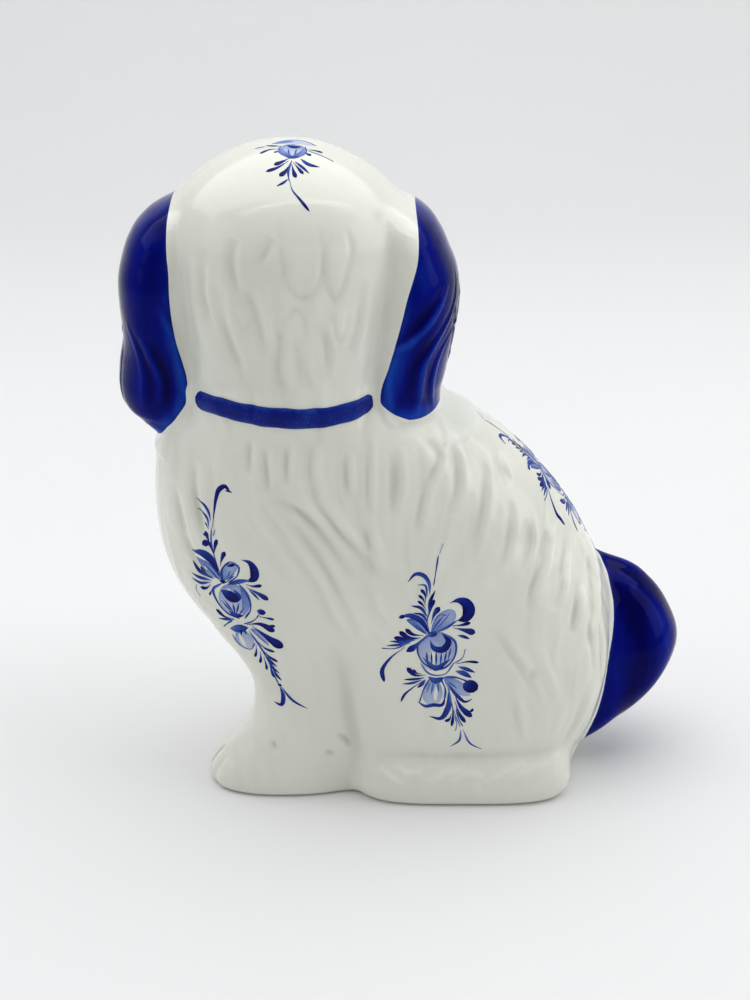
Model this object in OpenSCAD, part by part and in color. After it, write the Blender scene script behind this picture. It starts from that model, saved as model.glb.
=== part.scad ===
// Glazed ceramic dog figurine: a seated spaniel whose head is turned to the display side.
// Frame in millimetres: +Z is up, the base stands on z = 0, the chest faces -X, the tail
// is at +X, the face looks to +Y and the back of the head is at -Y. The origin is the
// middle of the resting face. Each node is a piece of clay that is luted to its neighbours.

/* [Figure] */
// Height of the figurine from the resting face to the crown
figure_h = 300; // [250:5:340]
// Reach of the chest in front of the origin
chest_reach = 101; // [90:1:110]
// Reach of the rump behind the origin
rump_reach = 116; // [105:1:125]
// Depth of the body from flank to flank
body_d = 112; // [100:2:124]
// Thickness of the hollow clay wall
wall = 4; // [3.5:0.5:7]

/* [Head] */
// Distance of the middle of the head in front of the origin
head_forward = 38.5; // [32:0.5:45]
// Width of the head under the ears
head_w = 106; // [96:1:116]
// Depth of the head from the nape to the brow
head_d = 100; // [90:1:110]
// How far the muzzle stands out of the face
muzzle_l = 19; // [12:1:24]
// Height of the painted collar band
collar_h = 10; // [7:0.5:14]
// How far the collar stands out of the neck
collar_relief = 1.6; // [0.8:0.2:2.4]
// Diameter of the locket that hangs on the collar
locket_d = 20; // [14:1:24]

/* [Ears and tail] */
// Height of the ear tips above the resting face, as a share of the figurine's height
ear_tip = 0.556; // [0.52:0.01:0.6]
// How far an ear stands out beyond the middle of the head
ear_reach = 76; // [71:0.5:81]
// Reach of the tail behind the origin
tail_reach = 147; // [136:1:155]

/* [Base] */
// Thickness of the closing plate under the body
plate_t = 5; // [4:0.5:7]
// Diameter of the vent hole that lets the kiln gas out
vent_d = 12; // [8:1:16]
// Distance of the vent hole behind the origin
vent_x = 38; // [28:1:46]

/* [Hidden] */

seam = 0.2;                    // clearance left between luted pieces
middle_y = 2;                  // the body's middle plane, slightly to the display side
neck_z = figure_h * 0.633;     // height of the seam between body and neck
crown_z = figure_h;
half_d = body_d / 2;
head_rx = head_w / 2;
head_ry = head_d / 2;
neck_rx = head_rx * 0.92;
neck_ry = head_ry * 0.96;
neck_front = -head_forward - neck_rx;
neck_back = -head_forward + neck_rx;
round_form = 2.2;              // superellipse power of a round section
base_form = 3.0;               // the base is squarer
around = 48;                   // points round one ring
body_rings = 26;
head_rings = 20;
hollow_rings = 12;
small_around = 28;
small_rings = 16;
collar_low = neck_z - collar_h / 2;
collar_high = neck_z + collar_h / 2;
muzzle_z = figure_h * 0.765;
muzzle_spread_z = 17;
muzzle_spread_x = 21;

white_glaze = [0.93, 0.93, 0.92];
cobalt_glaze = [0.03, 0.05, 0.45];

// A row describes one level section: height, least x, greatest x, middle y, half depth, power.
body_rows = [
    [0,             -0.50 * chest_reach, 0.82 * rump_reach,  middle_y, 0.80 * half_d, base_form],
    [0.08 * neck_z, -0.51 * chest_reach, 0.87 * rump_reach,  middle_y, 0.86 * half_d, base_form],
    [0.17 * neck_z, -0.53 * chest_reach, 0.93 * rump_reach,  middle_y, 0.92 * half_d, 2.8],
    [0.30 * neck_z, -0.59 * chest_reach, 0.955 * rump_reach, middle_y, 0.98 * half_d, 2.6],
    [0.40 * neck_z, -0.76 * chest_reach, 0.97 * rump_reach,  middle_y, half_d,        2.5],
    [0.48 * neck_z, -0.89 * chest_reach, 0.945 * rump_reach, middle_y, half_d,        2.5],
    [0.57 * neck_z, -0.97 * chest_reach, 0.88 * rump_reach,  middle_y, 0.98 * half_d, 2.4],
    [0.67 * neck_z, -chest_reach,        0.795 * rump_reach, middle_y, 0.95 * half_d, 2.4],
    [0.77 * neck_z, -chest_reach,        0.67 * rump_reach,  middle_y, 0.91 * half_d, 2.4],
    [0.87 * neck_z, -0.98 * chest_reach, 0.505 * rump_reach, middle_y, 0.88 * half_d, 2.3],
    [0.94 * neck_z, -0.95 * chest_reach, 0.30 * rump_reach,  middle_y, 0.87 * half_d, 2.3],
    [neck_z,        neck_front,          neck_back,          middle_y, neck_ry,       round_form]
];

head_h = crown_z - neck_z;
head_rows = [
    for (level = [[0, 0.92, 0.96], [0.10, 0.93, 0.97], [0.28, 0.96, 1.0], [0.46, 0.99, 1.02],
                  [0.62, 1.0, 1.02], [0.73, 0.96, 0.95], [0.82, 0.85, 0.83], [0.89, 0.68, 0.67],
                  [0.945, 0.48, 0.48], [0.985, 0.25, 0.26], [1.0, 0.04, 0.04]])
        [neck_z + level[0] * head_h, -head_forward - level[1] * head_rx,
         -head_forward + level[1] * head_rx, middle_y, level[2] * head_ry, round_form]
];

// Ears: [share of the ear's height, share of its reach, root distance, half depth, middle y]
ear_low = figure_h * ear_tip;
ear_high = figure_h * 0.94;
left_ear_levels = [
    [0, 0.81, 0.77, 4, -3], [0.04, 0.87, 0.72, 13, -2], [0.11, 0.965, 0.66, 21, -1],
    [0.20, 1.0, 0.61, 26, 0], [0.42, 0.985, 0.56, 31, 0], [0.62, 0.985, 0.54, 33, 1],
    [0.79, 0.90, 0.50, 31, 2], [0.90, 0.80, 0.48, 26, 3], [0.96, 0.69, 0.45, 19, 4], [1, 0.61, 0.44, 9, 5]
];
right_ear_levels = [
    [0, 0.68, 0.58, 9, -4], [0.07, 0.77, 0.56, 19, -3], [0.15, 0.84, 0.55, 25, -2],
    [0.29, 0.91, 0.55, 29, -1], [0.45, 0.96, 0.55, 32, 0], [0.60, 0.965, 0.54, 33, 1],
    [0.73, 0.92, 0.51, 31, 2], [0.84, 0.835, 0.48, 28, 3], [0.92, 0.73, 0.45, 22, 4], [1, 0.56, 0.43, 8, 5]
];

tail_rows = [
    for (level = [[12, 0.71, 9, 0], [17, 0.79, 16, 2], [25, 0.87, 21, 5], [36, 0.945, 25, 8],
                  [47, 0.99, 26, 11], [58, 1.0, 26, 12], [70, 0.97, 24, 13], [83, 0.905, 20, 14],
                  [93, 0.815, 14, 15], [99, 0.70, 6, 15]])
        [level[0], 0.55 * tail_reach, level[1] * tail_reach, level[3], level[2], 2]
];

foreleg_y = 28;                // distance of a foreleg from the middle plane
far_leg_back = 20;             // the foreleg on the display side is set back
foreleg_rows = [
    for (level = [[0, 76, 8, 19], [5, 78, 8, 20.5], [10, 75, 9, 20.5], [18, 69, 10, 19.5], [28, 61.5, 12, 18.5],
                  [42, 57.5, 14, 18], [56, 57.5, 16, 18], [68, 62, 20, 17.5], [84, 73, 30, 15], [104, 82, 48, 6]])
        [level[0], -level[1], -level[2], 0, level[3], 2.4]
];

hind_foot_y = 34;
far_foot_front = 23;           // so the foot behind it starts further back too
function hind_foot_rows(set_back) = [
    for (level = [[0, -7, 86, 21], [5, -9, 89, 23], [13, -9, 89, 23], [20, -6, 85, 20], [25, 1, 78, 12]])
        [level[0], level[1] + set_back, level[2], 0, level[3], 3]
];

// Smooth course between rows, which keeps each row's first value as its place.
function before(rows, at, i = 0) =
    i >= len(rows) - 2 || at < rows[i + 1][0] ? i : before(rows, at, i + 1);
function slope(rows, i) =
    let (a = max(i - 1, 0), b = min(i + 1, len(rows) - 1))
    (rows[b] - rows[a]) / (rows[b][0] - rows[a][0]);
function row_at(rows, at) =
    let (i = before(rows, at),
         p = rows[i],
         q = rows[i + 1],
         span = q[0] - p[0],
         t = (at - p[0]) / span,
         rise = slope(rows, i) * span,
         fall = slope(rows, i + 1) * span)
    p * (2 * t * t * t - 3 * t * t + 1) + rise * (t * t * t - 2 * t * t + t)
    + q * (3 * t * t - 2 * t * t * t) + fall * (t * t * t - t * t);

// The muzzle swells the display side of the head.
function bell(v, spread) = exp(-(v / spread) * (v / spread));
function muzzle(x, y, z) =
    y < 0 ? 0 : muzzle_l * bell(z - muzzle_z, muzzle_spread_z) * bell(x + head_forward, muzzle_spread_x);
function swell(p) = [p[0], p[1] + muzzle(p[0], p[1], p[2]), p[2]];

// One level ring of a superellipse, grown outwards by grow.
function oval(row, count, grow, z) =
    let (mid = (row[1] + row[2]) / 2,
         rx = (row[2] - row[1]) / 2 + grow,
         ry = row[4] + grow,
         power = 2 / row[5])
    [for (k = [0 : count - 1])
        let (c = cos(360 * k / count), s = sin(360 * k / count))
        [mid + rx * sign(c) * pow(abs(c), power), row[3] + ry * sign(s) * pow(abs(s), power), z]];
function ring(rows, at, count, grow = 0) = oval(row_at(rows, at), count, grow, at);

// Rings crowd towards both ends, where a form turns over.
function eased(t) = (1 - cos(180 * t)) / 2;
function levels(low, high, steps) = [for (i = [0 : steps]) low + (high - low) * i / steps];
function eased_levels(low, high, steps) = [for (i = [0 : steps]) low + (high - low) * eased(i / steps)];
function crown_levels(low, high, steps) = [for (i = [0 : steps]) low + (high - low) * sin(90 * i / steps)];

// Skin between neighbouring rings.
function skin(rings, count, closed) =
    [for (r = [0 : len(rings) - (closed ? 1 : 2)], k = [0 : count - 1], half = [0, 1])
        let (a = r * count + k,
             b = r * count + (k + 1) % count,
             up = ((r + 1) % len(rings)) * count,
             c = up + (k + 1) % count,
             d = up + k)
        half == 0 ? [c, b, a] : [d, c, a]];
function cap(first, count, flip) =
    [flip ? [for (k = [count - 1 : -1 : 0]) first + k] : [for (k = [0 : count - 1]) first + k]];
function flat_list(rings) = [for (one = rings, p = one) p];

// Solid form through rings, closed by a flat cap at each end.
module lofted(rings, count) {
    polyhedron(flat_list(rings),
               concat(skin(rings, count, false), cap(0, count, false),
                      cap((len(rings) - 1) * count, count, true)),
               convexity = 6);
}

// Tube-like shell through rings that run up the outside and down the inside.
module lofted_tube(rings, count) {
    polyhedron(flat_list(rings), skin(rings, count, true), convexity = 6);
}

module stacked(rows, low, high) {
    lofted([for (z = eased_levels(low, high, small_rings)) ring(rows, z, small_around)], small_around);
}

body_levels = levels(0, neck_z, body_rings);
head_levels = crown_levels(neck_z + seam, crown_z, head_rings);
function at_height(points, z) = [for (p = points) [p[0], p[1], z]];
function body_ring(z, grow) = ring(body_rows, z, around, grow);
function head_ring(z, grow) = [for (p = ring(head_rows, z, around, grow)) swell(p)];

// The whole outer forms of body and head, which the luted pieces are cut to fit.
module body_form(grow) {
    rings = [for (z = body_levels) body_ring(z, grow)];
    lofted(concat([at_height(rings[0], -1)], rings, [at_height(rings[body_rings], neck_z + 1)]), around);
}

module head_form(grow) {
    lofted([for (z = head_levels) head_ring(z, grow)], around);
}

module collar_form(grow) {
    neck = body_ring(neck_z, collar_relief + grow);
    lofted([at_height(neck, collar_low - grow), at_height(neck, collar_high + grow)], around);
}

// A luted piece is cut to the body, the head and the collar. A resize to zero changes no
// size: it joins the cut piece into one closed mesh.
module fitted() {
    resize([0, 0, 0])
        difference() {
            children();
            body_form(seam);
            head_form(seam);
            collar_form(seam);
        }
}

module body_shell() {
    outside = [for (z = body_levels) body_ring(z, 0)];
    inside = [for (z = levels(neck_z, 0, hollow_rings)) body_ring(z, -wall)];
    color(white_glaze)
        lofted_tube(concat(outside, inside), around);
}

module head_shell() {
    outside = [for (z = head_levels) head_ring(z, 0)];
    inside = [for (z = crown_levels(neck_z + seam, crown_z - wall, hollow_rings)) head_inner_ring(z)];
    down = [for (i = [hollow_rings : -1 : 0]) inside[i]];
    color(white_glaze)
        lofted(concat(down, outside), around);
}

// The hollow of the head stays one wall under the crown.
function head_inner_ring(z) =
    let (at = neck_z + (z - neck_z) * head_h / (head_h - wall),
         row = row_at(head_rows, at))
    [for (p = oval(row, around, -min(wall, 0.5 * row[4]), z)) swell(p)];

module ear(side, ear_levels) {
    rows = [for (level = ear_levels)
        let (z = ear_low + (ear_high - ear_low) * level[0],
             near_x = -head_forward + side * level[2] * ear_reach,
             far_x = -head_forward + side * level[1] * ear_reach)
        [z, min(near_x, far_x), max(near_x, far_x), level[4], level[3], 2.2]];
    color(cobalt_glaze)
        fitted()
            stacked(rows, ear_low, ear_high);
}

module left_ear() {
    ear(-1, left_ear_levels);
}

module right_ear() {
    ear(1, right_ear_levels);
}

module tail() {
    color(cobalt_glaze)
        fitted()
            stacked(tail_rows, 12, 99);
}

module foreleg(side, back) {
    color(white_glaze)
        fitted()
            translate([back, middle_y + side * foreleg_y, 0])
                stacked(foreleg_rows, 0, 104);
}

module left_foreleg() {
    foreleg(-1, 0);
}

module right_foreleg() {
    foreleg(1, far_leg_back);
}

module hind_foot(side, set_back) {
    color(white_glaze)
        fitted()
            translate([0, middle_y + side * hind_foot_y, 0])
                stacked(hind_foot_rows(set_back), 0, 25);
}

module left_hind_foot() {
    hind_foot(-1, 0);
}

module right_hind_foot() {
    hind_foot(1, far_foot_front);
}

module collar() {
    color(cobalt_glaze)
        resize([0, 0, 0])
            difference() {
                collar_form(0);
                body_form(seam);
                head_form(seam);
            }
}

module locket() {
    color(cobalt_glaze)
        fitted()
            translate([-head_forward, middle_y + neck_ry - 2, collar_low - locket_d / 2 + 1])
                rotate([-90, 0, 0])
                    cylinder(h = 8, d = locket_d, $fn = 48);
}

module base_plate() {
    color(white_glaze)
        difference() {
            linear_extrude(plate_t)
                polygon([for (p = body_ring(0, -wall - seam)) [p[0], p[1]]]);
            translate([vent_x, middle_y, -1])
                cylinder(h = plate_t + 2, d = vent_d, $fn = 48);
        }
}

body_shell();
head_shell();
left_ear();
right_ear();
tail();
left_foreleg();
right_foreleg();
left_hind_foot();
right_hind_foot();
collar();
locket();
base_plate();
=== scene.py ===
"""Looks of the glazed spaniel figurine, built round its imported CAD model.

The clay forms are read from the CAD nodes or set out from their boxes, melted together as one
distance field, tooled with fur, and then cut back into the pieces that the figurine is made of.
Everything here is in millimetres in the CAD's frame until a mesh is made, which is in metres.
"""

import math

import bpy
import numpy as np
import openvdb as vdb
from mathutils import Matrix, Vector
from mathutils.bvhtree import BVHTree


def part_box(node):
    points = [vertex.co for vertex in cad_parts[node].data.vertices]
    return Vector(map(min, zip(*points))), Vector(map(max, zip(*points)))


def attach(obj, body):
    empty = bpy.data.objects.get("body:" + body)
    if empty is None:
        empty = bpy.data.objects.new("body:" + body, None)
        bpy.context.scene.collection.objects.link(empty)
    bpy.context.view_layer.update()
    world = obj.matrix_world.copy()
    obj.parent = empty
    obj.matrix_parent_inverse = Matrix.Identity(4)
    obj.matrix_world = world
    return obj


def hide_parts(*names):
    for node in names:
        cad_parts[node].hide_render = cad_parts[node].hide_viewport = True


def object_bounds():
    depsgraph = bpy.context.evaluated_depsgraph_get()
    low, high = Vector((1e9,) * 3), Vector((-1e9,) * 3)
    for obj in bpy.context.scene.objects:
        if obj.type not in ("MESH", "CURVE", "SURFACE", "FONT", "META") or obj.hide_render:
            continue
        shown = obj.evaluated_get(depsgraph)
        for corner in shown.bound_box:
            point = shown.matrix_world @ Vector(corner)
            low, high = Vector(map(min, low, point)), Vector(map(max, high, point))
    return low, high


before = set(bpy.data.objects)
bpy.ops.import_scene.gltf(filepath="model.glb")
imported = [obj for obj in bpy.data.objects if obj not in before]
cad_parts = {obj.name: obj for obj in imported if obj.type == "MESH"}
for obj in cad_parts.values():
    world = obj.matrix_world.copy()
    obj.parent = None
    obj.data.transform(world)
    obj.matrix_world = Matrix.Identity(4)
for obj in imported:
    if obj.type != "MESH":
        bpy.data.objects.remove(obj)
cad_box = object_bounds()

MM = 0.001
# step of the grid that the distance fields lie on, in millimetres, how many steps they are true for each
# way, and how many millimetres the grid goes past the CAD
VOXEL = 1.0
BAND = 12
GRID_MARGIN = 9
# points round every ring of a loft
RING_POINTS = 72
# the plane that halves the body
MIDDLE_Y = 2.0
SEED = 11


# ---------------------------------------------------------------- the frame's measures


def node_box(name):
    """Lowest and highest corner of a CAD node, in millimetres."""
    low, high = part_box(name)
    return np.array(low) / MM, np.array(high) / MM


BODY_LOW, BODY_HIGH = node_box("body_shell")
HEAD_LOW, HEAD_HIGH = node_box("head_shell")
COLLAR_LOW, COLLAR_HIGH = node_box("collar")
NECK_Z = (COLLAR_LOW[2] + COLLAR_HIGH[2]) / 2
HEAD_X = (COLLAR_LOW[0] + COLLAR_HIGH[0]) / 2
CROWN_Z = HEAD_HIGH[2]
FACE_Y = HEAD_HIGH[1]
# middle x, middle y and radius of the kiln vent
VENT = (38.0, MIDDLE_Y, 6.0)

GRID_LOW = np.floor((np.array(cad_box[0]) / MM - GRID_MARGIN) / VOXEL).astype(int)
GRID_HIGH = np.ceil((np.array(cad_box[1]) / MM + GRID_MARGIN) / VOXEL).astype(int)
GRID_SHAPE = tuple(GRID_HIGH - GRID_LOW + 1)


def grid_axis(axis):
    """The grid's places along one axis, shaped to spread over the other two."""
    steps = GRID_LOW[axis] + np.arange(GRID_SHAPE[axis], dtype=np.float32)
    return steps.reshape([-1 if axis == other else 1 for other in range(3)]) * VOXEL


GRID_X, GRID_Y, GRID_Z = (grid_axis(axis) for axis in range(3))


# ---------------------------------------------------------------- rings, lofts and distance fields


def smooth_rows(rows, at):
    """Rows at the places in at, by a smooth course through the given rows (first value is the place)."""
    rows = np.array(rows, float)
    place = rows[:, 0]
    slope = np.gradient(rows, place, axis=0)
    i = np.clip(np.searchsorted(place, at, side="right") - 1, 0, len(place) - 2)
    span = (place[i + 1] - place[i])[:, None]
    t = ((at - place[i]) / span[:, 0])[:, None]
    return (
        rows[i] * (2 * t**3 - 3 * t**2 + 1)
        + slope[i] * span * (t**3 - 2 * t**2 + t)
        + rows[i + 1] * (3 * t**2 - 2 * t**3)
        + slope[i + 1] * span * (t**3 - t**2)
    )


def curve_points(path, spacing=1.5):
    """Points along a smooth course through path, and each one's share of the way."""
    path = np.array(path, float)
    gaps = np.linalg.norm(np.diff(path, axis=0), axis=1)
    place = np.concatenate([[0], np.cumsum(gaps)])
    at = np.linspace(0, place[-1], max(4, int(place[-1] / spacing) + 1))
    if len(path) == 2:
        points = path[0] + (path[1] - path[0]) * (at / place[-1])[:, None]
    else:
        points = smooth_rows(np.column_stack([place, path]), at)[:, 1:]
    return points, at / place[-1]


def oval_rings(rows, steps):
    """Level superellipse rings: a row is height, least x, greatest x, middle y, half depth, power."""
    heights = np.linspace(rows[0][0], rows[-1][0], steps)
    table = smooth_rows(rows, heights)
    angle = np.linspace(0, 2 * math.pi, RING_POINTS, endpoint=False)
    c, s = np.cos(angle), np.sin(angle)
    _, left, right, middle, depth, power = (table[:, k:k + 1] for k in range(6))
    x = (left + right) / 2 + (right - left) / 2 * np.sign(c) * np.abs(c) ** (2 / power)
    y = middle + depth * np.sign(s) * np.abs(s) ** (2 / power)
    z = np.repeat(heights[:, None], RING_POINTS, axis=1)
    return np.stack([x, y, z], axis=2)


def node_tree(name):
    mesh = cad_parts[name].data
    corners = [v.co.copy() for v in mesh.vertices]
    return BVHTree.FromPolygons(corners, [tuple(p.vertices) for p in mesh.polygons])


def skin_rings(name, levels):
    """Level rings on the outer skin of a CAD node, found by rays from outside towards its axis."""
    tree = node_tree(name)
    away = 0.4
    rings = []
    for z in levels:
        left = tree.ray_cast(Vector((-away, MIDDLE_Y * MM, z * MM)), Vector((1, 0, 0)))[0].x
        right = tree.ray_cast(Vector((away, MIDDLE_Y * MM, z * MM)), Vector((-1, 0, 0)))[0].x
        axis = Vector(((left + right) / 2, MIDDLE_Y * MM, z * MM))
        ring = []
        for k in range(RING_POINTS):
            angle = 2 * math.pi * k / RING_POINTS
            out = Vector((math.cos(angle), math.sin(angle), 0))
            ring.append(tree.ray_cast(axis + out * away, -out)[0] / MM)
        rings.append(ring)
    return np.array(rings)


def eased_rings(rings, passes):
    """Takes the facets out of rings."""
    for _ in range(passes):
        rings = rings * 0.5 + (np.roll(rings, 1, axis=1) + np.roll(rings, -1, axis=1)) * 0.25
        rings[1:-1] = rings[1:-1] * 0.5 + (rings[:-2] + rings[2:]) * 0.25
    return rings


def ring_faces(steps, count):
    """Quads between neighbouring rings."""
    k = np.arange(count)
    quads = []
    for r in range(steps - 1):
        a, b = r * count + k, r * count + (k + 1) % count
        quads.append(np.stack([a, b, b + count, a + count], axis=1))
    return np.concatenate(quads)


def field_of_rings(rings):
    """Signed distance, in millimetres, to the closed form through rings, on the whole grid."""
    steps, count = rings.shape[:2]
    points = np.concatenate([rings.reshape(-1, 3), [rings[0].mean(0)], [rings[-1].mean(0)]])
    k = np.arange(count)
    low = np.stack([(k + 1) % count, k, np.full(count, steps * count)], axis=1)
    top = (steps - 1) * count
    high = np.stack([top + k, top + (k + 1) % count, np.full(count, steps * count + 1)], axis=1)
    grid = vdb.FloatGrid.createLevelSetFromPolygons(
        points.astype(np.float32),
        triangles=np.concatenate([low, high]).astype(np.uint32),
        quads=ring_faces(steps, count).astype(np.uint32),
        transform=vdb.createLinearTransform(voxelSize=VOXEL),
        halfWidth=BAND,
    )
    field = np.full(GRID_SHAPE, BAND * VOXEL, np.float32)
    grid.copyToArray(field, ijk=tuple(int(v) for v in GRID_LOW))
    return field


def loft(rows, steps=48):
    return field_of_rings(oval_rings(rows, steps))


def melt(a, b, reach):
    """Union of two fields with a soft fillet."""
    h = np.maximum(reach - np.abs(a - b), 0) / reach
    return np.minimum(a, b) - h * h * reach * 0.25


def carve(a, b, reach):
    """Takes form b away from form a with a soft edge."""
    return -melt(-a, b, reach)


def egg(centre, radii):
    """Field of an ellipsoid, close to a distance near its skin."""
    u, v, w = ((g - c) / r for g, c, r in zip((GRID_X, GRID_Y, GRID_Z), centre, radii))
    length = np.sqrt(u * u + v * v + w * w)
    steep = np.sqrt((u / radii[0]) ** 2 + (v / radii[1]) ** 2 + (w / radii[2]) ** 2) + 1e-6
    return np.clip(length * (length - 1) / steep, -BAND, BAND).astype(np.float32)


def blurred(field):
    """Softens a field by one step along each axis, in place."""
    for axis in range(3):
        a = np.moveaxis(field, axis, 0)
        a[1:-1] = a[1:-1] * 0.5 + (a[:-2] + a[2:]) * 0.25
    return field


def sample(field, points):
    """Field values at points, by trilinear interpolation."""
    p = np.asarray(points) / VOXEL - GRID_LOW
    i = np.clip(np.floor(p).astype(int), 0, np.array(GRID_SHAPE) - 2)
    f = np.clip(p - i, 0, 1)
    value = 0
    for dx in (0, 1):
        for dy in (0, 1):
            for dz in (0, 1):
                weight = (
                    (f[:, 0] if dx else 1 - f[:, 0])
                    * (f[:, 1] if dy else 1 - f[:, 1])
                    * (f[:, 2] if dz else 1 - f[:, 2])
                )
                value = value + weight * field[i[:, 0] + dx, i[:, 1] + dy, i[:, 2] + dz]
    return value


# ---------------------------------------------------------------- the clay forms


def torso_field():
    """The body's own skin, carried on a little below the floor and into the head."""
    levels = np.linspace(BODY_LOW[2] + 0.4, BODY_HIGH[2] - 0.3, 56)
    rings = eased_rings(skin_rings("body_shell", levels), 2)
    foot = rings[:1] - [0, 0, 8]
    neck = rings[-1:] + [0, 0, 6]
    return field_of_rings(np.concatenate([foot, rings, neck]))


def haunch_field(side):
    """The thigh swells out of the flank."""
    return egg((46, MIDDLE_Y + side * 33, 64), (58, 22, 56))


def head_field():
    """The head's own skin, with its rings closer together towards the crown."""
    height = HEAD_HIGH[2] - HEAD_LOW[2]
    share = np.sin(np.linspace(0, math.pi / 2, 44))
    levels = HEAD_LOW[2] + 0.3 + share * (height - 0.8)
    rings = eased_rings(skin_rings("head_shell", levels), 2)
    return field_of_rings(np.concatenate([rings[:1] - [0, 0, 6], rings]))


def face_field(head):
    """Brow, cheeks, muzzle, nose and chin on the display side."""
    brow_y = MIDDLE_Y + 44
    for side in (-1, 1):
        brow = egg((HEAD_X + side * 17, brow_y - 2, CROWN_Z - 51), (17, 10, 9))
        cheek = egg((HEAD_X + side * 25, brow_y - 8, CROWN_Z - 79), (19, 17, 19))
        lip = egg((HEAD_X + side * 9, FACE_Y - 12, CROWN_Z - 77), (11.5, 13, 10))
        socket = egg((HEAD_X + side * 18, FACE_Y - 14, CROWN_Z - 60), (8, 8, 6))
        eye = egg((HEAD_X + side * 18, brow_y + 2, CROWN_Z - 60), (7, 7, 6))
        head = melt(melt(melt(head, brow, 10), cheek, 12), lip, 5)
        head = melt(carve(head, socket, 6), eye, 2)
    muzzle = egg((HEAD_X, FACE_Y - 14, CROWN_Z - 71), (11, 18, 12))
    nose = egg((HEAD_X, FACE_Y - 1.5, CROWN_Z - 69), (7, 5, 5))
    chin = egg((HEAD_X, FACE_Y - 14, CROWN_Z - 89), (10, 11, 6))
    return melt(melt(melt(head, muzzle, 8), nose, 3), chin, 4)


def ear_field(name, side):
    """An ear hangs from the side of the head; its box in the CAD gives its reach and height."""
    low, high = node_box(name)
    reach = low[0] if side < 0 else high[0]
    rows = []
    for height, inset, root, middle, half in EARS[name]:
        ends = sorted((reach - side * inset, HEAD_X + side * root))
        rows.append([low[2] + height, ends[0], ends[1], middle, half, 2.05])
    return loft(rows, steps=72)


# height over the ear's lowest point, inset of its outline from its reach, root, middle y, half depth
EARS = {
    "left_ear": [
        [7, 17, 53, -9, 4], [8.6, 13, 52, -8, 10], [10.4, 10.4, 50, -7, 14], [12.8, 7.4, 47, -5, 18],
        [15.6, 4, 43, -4, 22], [19.4, 1.2, 38.5, -2, 26], [25, 0, 36, -1, 29], [36, 0.8, 36.5, 0, 30.5],
        [45, 2.6, 38, 0, 31.5], [56, 2.6, 40, 0, 32.5], [65, 1.8, 41, 1, 33.5], [75, 2, 41, 1, 34],
        [84, 4, 41, 2, 33.5], [92, 7, 40, 2, 32], [98.5, 11.5, 39, 3, 28], [103, 17.5, 38, 4, 23],
        [105.8, 25, 37, 5, 15], [107.5, 33, 36, 6, 7],
    ],
    "right_ear": [
        [-2, 23, 45, -7, 8], [0, 16, 41, -6, 19], [2.5, 11, 37.5, -5, 26], [6, 8, 34.5, -3, 30],
        [13, 5.2, 32.5, -2, 33], [21, 3.4, 34, -1, 34], [31, 1.4, 37, 0, 34.5], [42, -0.6, 40, 0, 35],
        [53, -1.2, 42, 0, 35], [62, 0, 42.5, 1, 35], [70, 3.2, 42, 1, 34], [78, 7, 41, 2, 32.5],
        [84.5, 12.5, 40, 3, 28], [88, 19, 39, 4, 22], [90, 26, 38, 5, 14], [91.5, 33, 37, 6, 7],
    ],
}
# where the cobalt of each ear ends, as (x, z) points from the top down, then round its outer side
EAR_BORDERS = {
    "left_ear": [
        (-88, 286), (-88, 277), (-88.5, 270), (-88.5, 260), (-88, 248), (-88, 238), (-87.5, 229),
        (-86, 219), (-83.5, 208), (-82, 201), (-82, 194), (-83, 189.5), (-84.8, 186), (-87.5, 182.6),
        (-90, 179.4), (-91.6, 176), (-92.4, 171), (-94, 160), (-140, 160), (-140, 286),
    ],
    "right_ear": [
        (17, 284), (17, 275), (18, 270), (18.5, 263), (18, 255), (16, 247), (14, 240), (11.5, 229),
        (9, 219), (5.5, 207), (2.6, 198), (2.3, 192.5), (2.8, 188), (4.2, 184.6), (6.4, 182.6),
        (9, 182.4), (11, 183.8), (14, 184.6), (18, 184.4), (23, 183.6), (28, 181), (31, 172),
        (65, 172), (65, 284),
    ],
}
# height below which an ear hangs clear of the head
EAR_FREE = {"left_ear": 203, "right_ear": 206}


def inside_border(name, x, z):
    """Distance of each place from an ear's border, above 0 inside it.

    The border is smooth as far as its last three points, which lie well clear of the ear.
    """
    course, _ = curve_points(EAR_BORDERS[name][:-3], spacing=2.5)
    corners = np.concatenate([course, EAR_BORDERS[name][-3:]])
    away = np.full(len(x), 1e9)
    inside = np.zeros(len(x), bool)
    for (ax, az), (bx, bz) in zip(corners, np.roll(corners, -1, axis=0)):
        dx, dz = bx - ax, bz - az
        t = np.clip(((x - ax) * dx + (z - az) * dz) / (dx * dx + dz * dz), 0, 1)
        away = np.minimum(away, np.hypot(x - ax - t * dx, z - az - t * dz))
        crosses = (az > z) != (bz > z)
        at = ax + (z - az) * dx / (dz if dz else 1e-9)
        inside ^= crosses & (x < at)
    return np.where(inside, away, -away)


def tail_field():
    """A fat crescent that stands against the rump."""
    low, high = node_box("tail")
    # height, inset from the tail's reach, half depth, middle y
    course = [
        [12, 43, 6, -8], [15, 38, 12, -5], [20.5, 29.5, 16, -2], [29, 17.5, 21, 3], [38, 8, 25, 7],
        [48, 1.8, 26, 10], [58, 0, 26, 11.5], [70, 4, 24, 13], [83, 13, 20, 14], [92, 24, 14, 15],
        [98, 38, 6, 15],
    ]
    return loft([[z, low[0] - 16, high[0] - inset, middle, half, 2] for z, inset, half, middle in course])


# how far the middles of the feet stand out from the plane that halves the body
FORELEG_OUT = 28
HIND_FOOT_OUT = 34


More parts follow.
